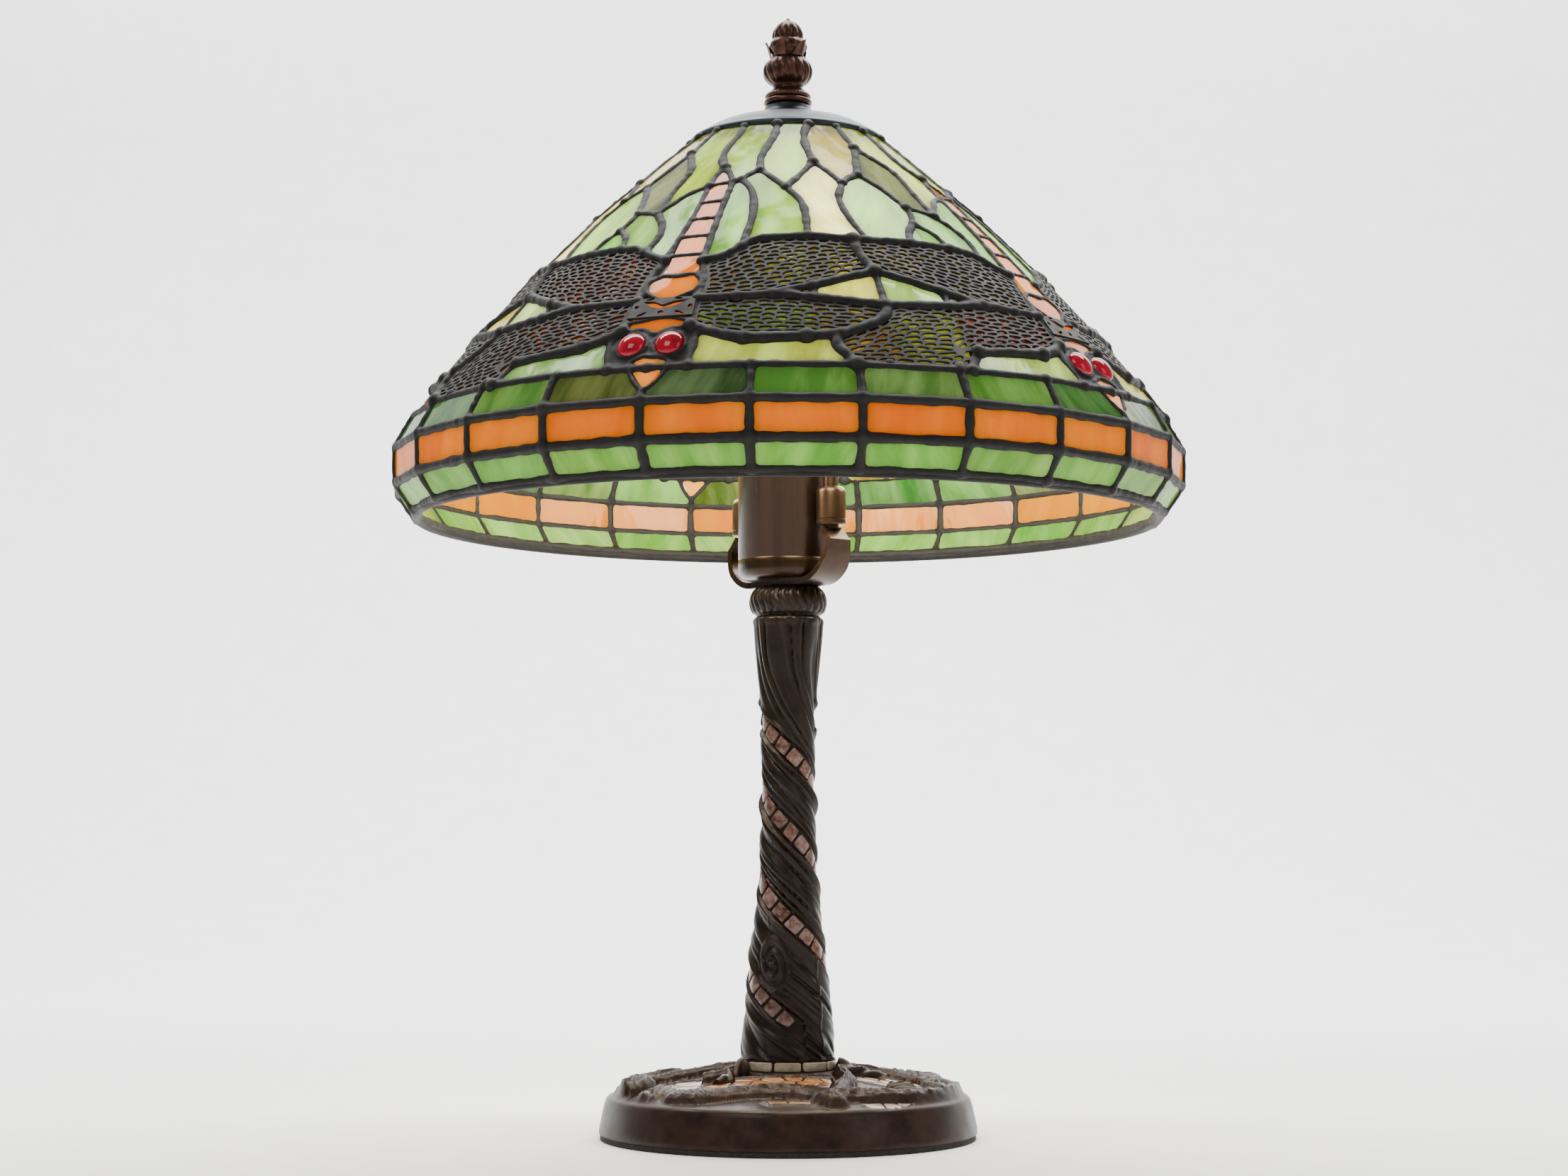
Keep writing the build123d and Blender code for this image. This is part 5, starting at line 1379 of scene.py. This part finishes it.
def rope(heap, start, turn):
    """A twisted root that rises from the base and leans on the collar."""
    steps = 40
    sides = 20
    rows = []
    for i in range(steps + 1):
        t = i / steps
        r = 37 - 17.6 * t ** 0.8
        z = float(base_height(r)) - 0.5 + 4.6 * max(0, t - 0.55) ** 1.2 * 2.2
        angle = radians(start + turn * (1 - t) + 3 * sin(t * 7))
        thick = 2.4 + 1.5 * sin(pi * min(1, t * 0.9 + 0.05))
        for j in range(sides):
            a = 2 * pi * j / sides
            lobe = 1 + 0.16 * sin(3 * a + t * 16)
            out = r + 0.35 * thick * lobe * cos(a)
            side = thick * lobe * sin(a) * 0.9
            up = z + thick * lobe * cos(a)
            rows.append((out * sin(angle) + side * cos(angle), -out * cos(angle) + side * sin(angle),
                         up))
    heap.add(rows, grid_faces(steps + 1, sides) + end_caps(steps + 1, sides))


def clip_half(polygon, point, direction):
    """The part of a polygon on the near side of a line."""
    out = []
    for p, q in zip(polygon, polygon[1:] + polygon[:1]):
        dp = (p[0] - point[0]) * direction[0] + (p[1] - point[1]) * direction[1]
        dq = (q[0] - point[0]) * direction[0] + (q[1] - point[1]) * direction[1]
        if dp <= 0:
            out.append(p)
        if (dp < 0 < dq) or (dq < 0 < dp):
            t = dp / (dp - dq)
            out.append((p[0] + (q[0] - p[0]) * t, p[1] + (q[1] - p[1]) * t))
    return out


def crazy_paving(outline, count, draw):
    """An outline cut into irregular pieces with joints between them."""
    xs = [p[0] for p in outline]
    ys = [p[1] for p in outline]
    seeds = []
    for _ in range(4000):
        x = draw.uniform(min(xs), max(xs))
        y = draw.uniform(min(ys), max(ys))
        spread = 0.78 * sqrt((max(xs) - min(xs)) * (max(ys) - min(ys)) / count)
        if inside(outline, x, y) and all(hypot(x - a, y - b) > spread for a, b in seeds):
            seeds.append((x, y))
        if len(seeds) == count:
            break
    cells = []
    for sx, sy in seeds:
        cell = list(outline)
        for ox, oy in seeds:
            if (ox, oy) != (sx, sy) and cell:
                gap = hypot(ox - sx, oy - sy)
                direction = ((ox - sx) / gap, (oy - sy) / gap)
                middle = ((sx + ox) / 2 - direction[0] * 0.42, (sy + oy) / 2 - direction[1] * 0.42)
                cell = clip_half(cell, middle, direction)
        if len(cell) > 2:
            cells.append(cell)
    return cells


PAVING = {
    "amber": [(0.42, 0.16, 0.03), (0.50, 0.22, 0.06), (0.33, 0.11, 0.02), (0.24, 0.08, 0.02),
              (0.55, 0.30, 0.12)],
    "blush": [(0.50, 0.36, 0.30), (0.42, 0.30, 0.26), (0.56, 0.44, 0.38), (0.36, 0.24, 0.20)],
}


def base_tiles(kind):
    """Crazy paving in the beds of one colour."""
    heap = Heap()
    draw = random.Random(21 if kind == "amber" else 22)

    def place(x, y, lift):
        r = hypot(x, y)
        return (x, y, float(base_height(r)) - 0.45 + lift)

    index = 0
    for outline, family, count in BEDS:
        if family != kind:
            continue
        for cell in crazy_paving(outline, count, draw):
            cushion(heap, softened(dense(cell, 3.5), 0.6, 1), place, pick_from(PAVING[kind], draw),
                    0.75, index)
            index += 1
    return sharpen(heap.build("base_mosaic_" + kind), 50)


COLLAR_RADIUS = 17.9


def collar_tile_piece():
    """The ring of cream tiles round the foot of the stem."""
    heap = Heap()
    draw = random.Random(8)
    count = 10
    for i in range(count):
        middle = 2 * pi * (i + 0.5) / count - 0.33
        half = pi / count * COLLAR_RADIUS - 0.45
        corners = [(-half, -1.75), (half, -1.75), (half + draw.uniform(-0.3, 0.3), 1.75),
                   (-half + draw.uniform(-0.3, 0.3), 1.75)]

        def place(u, v, lift, middle=middle):
            t = middle + u / COLLAR_RADIUS
            r = COLLAR_RADIUS + lift
            return (r * sin(t), -r * cos(t), 27.95 + v)

        shade = draw.uniform(0.75, 1.0)
        tint = (0.34 * shade, 0.29 * shade, 0.20 * shade)
        cushion(heap, softened(dense(corners, 3), 0.5, 1), place, tint, 0.7, i)
    return sharpen(heap.build("collar_mosaic"), 50)


def cup_piece():
    """Deep socket cup with a rolled foot and a beaded mouth."""
    low, high = 214.6, 262.0
    profile = [(5.0, low), (13.5, low), (15.5, low + 0.1)]
    profile += arc3((16.4, low + 0.3), (18.6, low + 1.7), (19.4, low + 4.4), 6)
    profile += [(19.5, low + 6), (19.5, low + 7.6), (19.25, low + 8.0), (19.5, low + 8.4),
                (19.5, high - 3.4),
                (19.75, high - 2.9), (19.8, high - 1.4), (19.6, high - 0.4), (19.0, high),
                (18.2, high - 0.2),
                (COLLAR_RADIUS, high - 1.0), (COLLAR_RADIUS, low + 4.2), (13, low + 1.6),
                (5.0, low + 1.6)]
    return lathe("socket_cup_shell", profile, 128, 0.05)


def sleeve_piece(node, name):
    """A sliding ferrule with a domed top and a fine groove."""
    low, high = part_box(node)
    middle = ((low.x + high.x) / 2 / MM, (low.y + high.y) / 2 / MM)
    bottom, top = low.z / MM, high.z / MM
    bore = 3.05
    profile = [(bore, bottom), (5.3, bottom), (5.65, bottom + 0.4), (5.7, bottom + 1.0),
               (5.7, bottom + 1.9),
               (5.5, bottom + 2.1), (5.7, bottom + 2.3), (5.7, top - 2.4)]
    profile += arc3((5.65, top - 2.0), (5.0, top - 0.6), (3.6, top), 6) + [(bore, top)]
    piece = lathe(name, profile, 64)
    for vertex in piece.data.vertices:
        vertex.co.x += middle[0] * MM
        vertex.co.y += middle[1] * MM
    return piece


# --- materials ---------------------------------------------------------------------------------------
def material(name, **sockets):
    """A node material with a Principled shader and plain socket values."""
    made = bpy.data.materials.new(name)
    made.use_nodes = True
    shader = made.node_tree.nodes["Principled BSDF"]
    for key, value in sockets.items():
        shader.inputs[key.replace("_", " ")].default_value = value
    return made, made.node_tree, shader


def node(tree, kind, **values):
    """A node with its properties and input values set."""
    made = tree.nodes.new(kind)
    for key, value in values.items():
        if hasattr(made, key):
            setattr(made, key, value)
        else:
            made.inputs[key.replace("_", " ")].default_value = value
    return made


def grainy(tree, scale, stretch, detail=4.0, roughness=0.55, source="Object"):
    """Noise over stretched object coordinates, or over the glass's own grain."""
    if source == "Object":
        place = node(tree, "ShaderNodeTexCoord").outputs["Object"]
    else:
        place = node(tree, "ShaderNodeAttribute", attribute_name="grain").outputs["Vector"]
    mapping = node(tree, "ShaderNodeMapping", vector_type="POINT")
    mapping.inputs["Scale"].default_value = stretch
    tree.links.new(place, mapping.inputs["Vector"])
    texture = node(tree, "ShaderNodeTexNoise", Scale=scale, Detail=detail, Roughness=roughness)
    tree.links.new(mapping.outputs["Vector"], texture.inputs["Vector"])
    return texture.outputs["Fac"]


def ramp(tree, fac, stops):
    """A colour ramp over a value."""
    made = node(tree, "ShaderNodeValToRGB")
    elements = made.color_ramp.elements
    elements[0].position, elements[0].color = stops[0][0], (*stops[0][1], 1)
    elements[1].position, elements[1].color = stops[-1][0], (*stops[-1][1], 1)
    for place, colour in stops[1:-1]:
        made.color_ramp.elements.new(place).color = (*colour, 1)
    tree.links.new(fac, made.inputs["Fac"])
    return made.outputs["Color"]


def stretch_range(tree, fac, low, high, out_low, out_high):
    """A value moved from one range to another."""
    made = node(tree, "ShaderNodeMapRange")
    for key, value in (("From Min", low), ("From Max", high), ("To Min", out_low),
                       ("To Max", out_high)):
        made.inputs[key].default_value = value
    tree.links.new(fac, made.inputs["Value"])
    return made.outputs["Result"]


def bumpy(tree, shader, height, strength, distance):
    """A bump from a value."""
    bump = node(tree, "ShaderNodeBump", Strength=strength, Distance=distance)
    tree.links.new(height, bump.inputs["Height"])
    tree.links.new(bump.outputs["Normal"], shader.inputs["Normal"])
    return bump.outputs["Normal"]


def mixed(tree, fac, first, second, blend="MIX"):
    """Two colours mixed; plain colours may be given as tuples."""
    made = node(tree, "ShaderNodeMix", data_type="RGBA", blend_type=blend)
    for key, value in ((0, fac), (6, first), (7, second)):
        if isinstance(value, (int, float)):
            made.inputs[key].default_value = value
        elif isinstance(value, tuple):
            made.inputs[key].default_value = (*value, 1)
        else:
            tree.links.new(value, made.inputs[key])
    return made.outputs[2]


WISP_STRETCH = (0.10, 0.022, 1.0)
RIPPLE_STRETCH = (0.11, 0.05, 1.0)
WARM_CLOUD = (1.0, 0.82, 0.55)


def shine_through(tree, shader, colour, share, normal=None):
    """Mixes a share of light passing through into a material."""
    through = node(tree, "ShaderNodeBsdfTranslucent")
    tree.links.new(colour, through.inputs["Color"])
    if normal is not None:
        tree.links.new(normal, through.inputs["Normal"])
    join = node(tree, "ShaderNodeMixShader", Fac=share)
    tree.links.new(shader.outputs["BSDF"], join.inputs[1])
    tree.links.new(through.outputs["BSDF"], join.inputs[2])
    tree.links.new(join.outputs["Shader"], tree.nodes["Material Output"].inputs["Surface"])


def glass_material(name, glow, streak, roughness=0.10, deep=(0.55, 0.50, 0.35),
                   milk=(0.90, 0.90, 0.55)):
    """Streaky opalescent glass that takes its colour from the piece."""
    made, tree, shader = material(name, Roughness=roughness, IOR=1.5, Specular_IOR_Level=0.25,
                                  Coat_Weight=0.04, Coat_Roughness=0.05)
    tint = node(tree, "ShaderNodeAttribute", attribute_name="tint").outputs["Color"]
    wisps = grainy(tree, 1.0, WISP_STRETCH, 5.0, 0.6, "grain")
    cloud = grainy(tree, 0.05, (1.0, 0.5, 1.0), 2.0, 0.5, "grain")
    dark = mixed(tree, 1.0, tint, deep, "MULTIPLY")
    light = mixed(tree, 0.20, tint, milk)
    streaky = mixed(tree, stretch_range(tree, wisps, 0.38, 0.64, 0.0, 1.0), dark, light)
    colour = mixed(tree, streak, tint, streaky)
    clouded = stretch_range(tree, cloud, 0.35, 0.7, 0.0, 0.45)
    colour = mixed(tree, clouded, colour, mixed(tree, 1.0, colour, WARM_CLOUD, "MULTIPLY"))
    tree.links.new(colour, shader.inputs["Base Color"])
    ripple = grainy(tree, 1.0, RIPPLE_STRETCH, 2.0, 0.4, "grain")
    normal = bumpy(tree, shader, ripple, 0.35, 0.0012)
    shine_through(tree, shader, colour, glow, normal)
    return made


def metal_material(name, low, high, roughness=(0.28, 0.5), metallic=0.9, scale=60.0, stretch=(1, 1, 1),
                   bump=0.12, coat=0.0, worn=None):
    """Patinated metal with a mottled colour and gloss."""
    made, tree, shader = material(name, Metallic=metallic, Specular_IOR_Level=0.16, Coat_Weight=coat,
                                  Coat_Roughness=0.15)
    mottle = grainy(tree, scale, stretch, 6.0, 0.62)
    colour = ramp(tree, mottle, [(0.32, low), (0.68, high)])
    if worn:
        geometry = node(tree, "ShaderNodeNewGeometry")
        edge = stretch_range(tree, geometry.outputs["Pointiness"], 0.5, 0.56, 0.0, 0.8)
        colour = mixed(tree, edge, colour, worn)
    tree.links.new(colour, shader.inputs["Base Color"])
    tree.links.new(stretch_range(tree, mottle, 0.3, 0.7, roughness[0], roughness[1]),
                   shader.inputs["Roughness"])
    pits = grainy(tree, scale * 6, (1, 1, 1), 3.0, 0.6)
    bumpy(tree, shader, pits, bump, 0.0004)
    return made


def tile_material(name, roughness=0.22, stone=0.5):
    """Glossy mosaic glass with veins, coloured by the piece."""
    made, tree, shader = material(name, Roughness=roughness, Coat_Weight=0.12, Coat_Roughness=0.05,
                                  Specular_IOR_Level=0.25)
    tint = node(tree, "ShaderNodeAttribute", attribute_name="tint").outputs["Color"]
    veins = grainy(tree, 0.35, (1, 1, 1), 6.0, 0.65, "grain")
    dark = mixed(tree, 1.0, tint, (0.35, 0.28, 0.22), "MULTIPLY")
    light = mixed(tree, 0.25, tint, (0.8, 0.7, 0.6))
    colour = mixed(tree, stretch_range(tree, veins, 0.36, 0.66, 0.0, 1.0), dark, light)
    tree.links.new(mixed(tree, stone, tint, colour), shader.inputs["Base Color"])
    bumpy(tree, shader, veins, 0.25, 0.0005)
    return made


def matte_material(name, low, high, roughness=0.7, scale=300.0, bump=0.3):
    """Cloth, fibre or moulded plastic."""
    made, tree, shader = material(name, Roughness=roughness)
    speck = grainy(tree, scale, (1, 1, 1), 4.0, 0.6)
    tree.links.new(ramp(tree, speck, [(0.3, low), (0.7, high)]), shader.inputs["Base Color"])
    bumpy(tree, shader, speck, bump, 0.0003)
    return made


def ruby_material():
    """Deep ruby cabochon."""
    made, tree, shader = material("ruby_cabochon", Roughness=0.08, IOR=1.45, Coat_Weight=0.25,
                                  Coat_Roughness=0.03)
    cloud = grainy(tree, 180.0, (1, 1, 1), 2.0, 0.5)
    colour = ramp(tree, cloud, [(0.35, (0.30, 0.0, 0.010)), (0.65, (0.56, 0.0, 0.020))])
    tree.links.new(colour, shader.inputs["Base Color"])
    shine_through(tree, shader, colour, 0.30)
    return made


def dress(piece, *materials):
    """Puts materials on a piece's slots."""
    piece.data.materials.clear()
    for each in materials:
        piece.data.materials.append(each)
    return piece


BRONZE = metal_material("cast_bronze", (0.010, 0.005, 0.0035), (0.032, 0.015, 0.010), (0.34, 0.52), 0.3,
                        90.0,
                        worn=(0.036, 0.018, 0.012), coat=0.08)
TRUNK = metal_material("trunk_bronze", (0.006, 0.004, 0.003), (0.018, 0.011, 0.008), (0.28, 0.46), 0.35,
                       90.0,
                       worn=(0.022, 0.014, 0.010), coat=0.08, bump=0.05)
BROWN = metal_material("brown_patina_brass", (0.016, 0.009, 0.006), (0.045, 0.025, 0.014), (0.24, 0.38),
                       0.8, 40.0,
                       stretch=(1.0, 1.0, 0.06), coat=0.15)
SLEEVE = metal_material("satin_brown_brass", (0.045, 0.028, 0.017), (0.085, 0.054, 0.034), (0.26, 0.4),
                        0.9, 60.0)
CAP = metal_material("gunmetal_cap", (0.016, 0.019, 0.021), (0.042, 0.048, 0.052), (0.30, 0.5), 0.7,
                     55.0)
FINIAL = metal_material("finial_bronze", (0.022, 0.010, 0.007), (0.070, 0.032, 0.021), (0.28, 0.46),
                        0.8, 160.0,
                        worn=(0.12, 0.062, 0.042), bump=0.06)
SOLDER = metal_material("dark_solder", (0.004, 0.004, 0.004), (0.014, 0.013, 0.012), (0.5, 0.7), 0.1,
                        120.0,
                        worn=(0.026, 0.025, 0.022), bump=0.25)
FILIGREE = metal_material("filigree_patina", (0.006, 0.006, 0.005), (0.020, 0.018, 0.015), (0.5, 0.7),
                          0.1, 140.0,
                          worn=(0.036, 0.033, 0.028), bump=0.15)
BRASS = metal_material("plain_brass", (0.42, 0.28, 0.11), (0.62, 0.44, 0.20), (0.22, 0.38), 1.0, 70.0)
STEEL = metal_material("plated_steel", (0.42, 0.42, 0.41), (0.60, 0.60, 0.58), (0.22, 0.38), 1.0, 70.0)
FELT = matte_material("dark_felt", (0.010, 0.009, 0.008), (0.026, 0.023, 0.020), 0.95, 500.0, 0.8)
PLASTIC = matte_material("black_plastic", (0.010, 0.010, 0.010), (0.022, 0.022, 0.022), 0.45, 300.0,
                         0.15)
PHENOLIC = matte_material("brown_phenolic", (0.030, 0.016, 0.010), (0.060, 0.032, 0.020), 0.4, 300.0,
                          0.15)
FIBRE = matte_material("fibre_liner", (0.40, 0.30, 0.18), (0.52, 0.40, 0.26), 0.8, 400.0, 0.4)
FROSTED = matte_material("frosted_bulb", (0.72, 0.71, 0.68), (0.82, 0.81, 0.78), 0.35, 200.0, 0.05)
RUBY = ruby_material()
SKY = glass_material("glass_sky", 0.66, 0.55, milk=(0.85, 0.88, 0.40))
LEAF = glass_material("glass_leaf", 0.64, 0.70)
WING = glass_material("glass_wing", 0.55, 0.85, 0.12, (0.30, 0.22, 0.12))
BRICK = glass_material("glass_green_brick", 0.50, 0.60, 0.06, (0.40, 0.45, 0.35))
AMBER = glass_material("glass_amber_brick", 0.60, 0.45, 0.06, (0.85, 0.60, 0.20), (0.90, 0.48, 0.02))
HEM = glass_material("glass_hem_brick", 0.55, 0.60, 0.08, (0.45, 0.55, 0.40))
BODY = glass_material("glass_body", 0.62, 0.35, 0.06, (0.90, 0.64, 0.25), (0.90, 0.50, 0.03))
TILES = tile_material("mosaic_glass")
CREAM = tile_material("cream_mosaic", 0.30, 0.35)


# --- the lamp ----------------------------------------------------------------------------------------
def ready(piece, body, node_names, slot_name, *materials):
    """Dresses a piece, lets it ride, and lets it stand for CAD nodes."""
    dress(piece, *materials)
    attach(piece, body)
    if node_names:
        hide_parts(*node_names)
    return piece


def keep(node_name, surface):
    """Shows a CAD node with a finish of its own."""
    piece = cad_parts[node_name]
    if not piece.material_slots:
        piece.data.materials.append(surface)
    for each in piece.material_slots:
        each.link = "OBJECT"
        each.material = surface


GLASS_FINISH = {
    "glass_upper": (SKY, "glass_sky"),
    "glass_background": (LEAF, "glass_leaf"),
    "glass_wings": (WING, "glass_wing"),
    "glass_bricks_green": (BRICK, "glass_green"),
    "glass_bricks_amber": (AMBER, "glass_amber"),
    "glass_bricks_hem": (HEM, "glass_hem"),
    "dragonfly_bodies": (BODY, "glass_body"),
    "dragonfly_noses": (BODY, "glass_body"),
}
for node_name, piece in glass_pieces().items():
    surface, slot_name = GLASS_FINISH[node_name]
    ready(piece, "shade", [node_name], slot_name, surface)
ready(eye_pieces(), "shade", ["dragonfly_eyes"], "glass_ruby", RUBY)
sections = []
for k in range(REPEATS):
    sections.append(leading(k))
for k, piece in enumerate(sections):
    ready(piece, "shade", ["shade_leading"] if k == 0 else [], "solder", SOLDER)
for k, piece in enumerate(filigree_pieces()):
    ready(piece, "shade", ["wing_filigree"] if k == 0 else [], "solder", FILIGREE)
ready(cap_piece(), "shade", ["shade_cap"], "cap_patina", CAP)
ready(finial_piece(), "finial", ["finial_casting"], "bronze", FINIAL)
ready(stem_piece(), "lamp_base", ["stem_casting"], "bronze", TRUNK)
ready(stem_tile_piece(), "lamp_base", ["stem_tiles"], "tile_terracotta", TILES)
ready(base_piece(), "lamp_base", ["base_casting"], "bronze", BRONZE)
ready(base_tiles("amber"), "lamp_base", ["base_tiles_amber"], "tile_amber", TILES)
ready(base_tiles("blush"), "lamp_base", ["base_tiles_blush"], "tile_blush", TILES)
ready(collar_tile_piece(), "lamp_base", ["collar_tiles"], "tile_cream", CREAM)
ready(cup_piece(), "lamp_base", ["socket_cup"], "brown_patina", BROWN)
ready(sleeve_piece("harp_sleeve_front", "ferrule_front"), "sleeve_front", ["harp_sleeve_front"],
      "brown_patina", SLEEVE)
ready(sleeve_piece("harp_sleeve_back", "ferrule_back"), "sleeve_back", ["harp_sleeve_back"],
      "brown_patina", SLEEVE)
for node_name, surface in {
    "base_felt": FELT, "cord_grommet": PLASTIC, "base_nut": STEEL, "base_washer": STEEL,
                           "threaded_tube": STEEL,
    "harp_saddle": BROWN, "cup_nut": BRASS, "socket_liner": FIBRE, "socket_body": PHENOLIC,
    "socket_screw_shell": BRASS, "socket_contact": BRASS, "terminal_screws": BRASS, "harp_wire": BROWN,
    "harp_stud": BRASS, "bulb_base": BRASS, "bulb_glass": FROSTED, "shade_rim": SOLDER,
                           "shade_top_ring": SOLDER,
    "finial_insert": BRASS,
}.items():
    keep(node_name, surface)


# --- floor, camera and light -------------------------------------------------------------------------
def area(name, place, target, size, power, colour=(1, 1, 1)):
    """A soft rectangular light."""
    lamp = bpy.data.lights.new(name, "AREA")
    lamp.shape = "RECTANGLE"
    lamp.size, lamp.size_y = size
    lamp.energy = power
    lamp.color = colour
    made = bpy.data.objects.new(name, lamp)
    made.location = place
    made.rotation_euler = (Vector(target) - Vector(place)).to_track_quat("-Z", "Y").to_euler()
    bpy.context.scene.collection.objects.link(made)
    return made


def backdrop():
    """Pale floor that curves up into a wall behind the lamp."""
    steps = 24
    rows = [(-3000, 0.0), (900, 0.0)]
    rows += [(900 + 900 * sin(pi / 2 * i / steps),
              900 - 900 * cos(pi / 2 * i / steps)) for i in range(1, steps + 1)]
    rows.append((1800, 3500))
    heap = Heap()
    points = []
    for y, z in rows:
        for x in (-3500, -1200, 0, 1200, 3500):
            points.append((x, y, z))
    heap.add(points, grid_faces(len(rows), 5, closed=False))
    piece = heap.build("sweep")
    dress(piece, matte_material("sweep_paper", (0.88, 0.88, 0.87), (0.92, 0.92, 0.91), 0.9, 40.0, 0.02))


backdrop()
area("key", (-0.9, -1.5, 1.7), (0, 0, 0.25), (1.0, 1.0), 15)
area("fill", (1.4, -1.2, 0.9), (0, 0, 0.2), (0.8, 1.2), 6)
area("back", (0.3, 1.0, 1.3), (0, 0, 0.3), (1.6, 1.0), 14)
area("wall_wash", (0, 0.7, 2.4), (0, 1.7, 0.5), (3.4, 0.8), 190)
for k in range(REPEATS):
    lamp = bpy.data.lights.new("glow_" + str(k), "POINT")
    lamp.energy = 0.8
    lamp.color = (1.0, 0.93, 0.82)
    lamp.shadow_soft_size = 0.03
    made = bpy.data.objects.new("glow_" + str(k), lamp)
    turn = radians(REPEAT_ANGLE * k + 10)
    made.location = (0.072 * sin(turn), -0.072 * cos(turn), 0.292)
    bpy.context.scene.collection.objects.link(made)
world = bpy.data.worlds.new("studio")
world.use_nodes = True
world.node_tree.nodes["Background"].inputs["Color"].default_value = (1, 1, 1, 1)
world.node_tree.nodes["Background"].inputs["Strength"].default_value = 0.32
bpy.context.scene.world = world
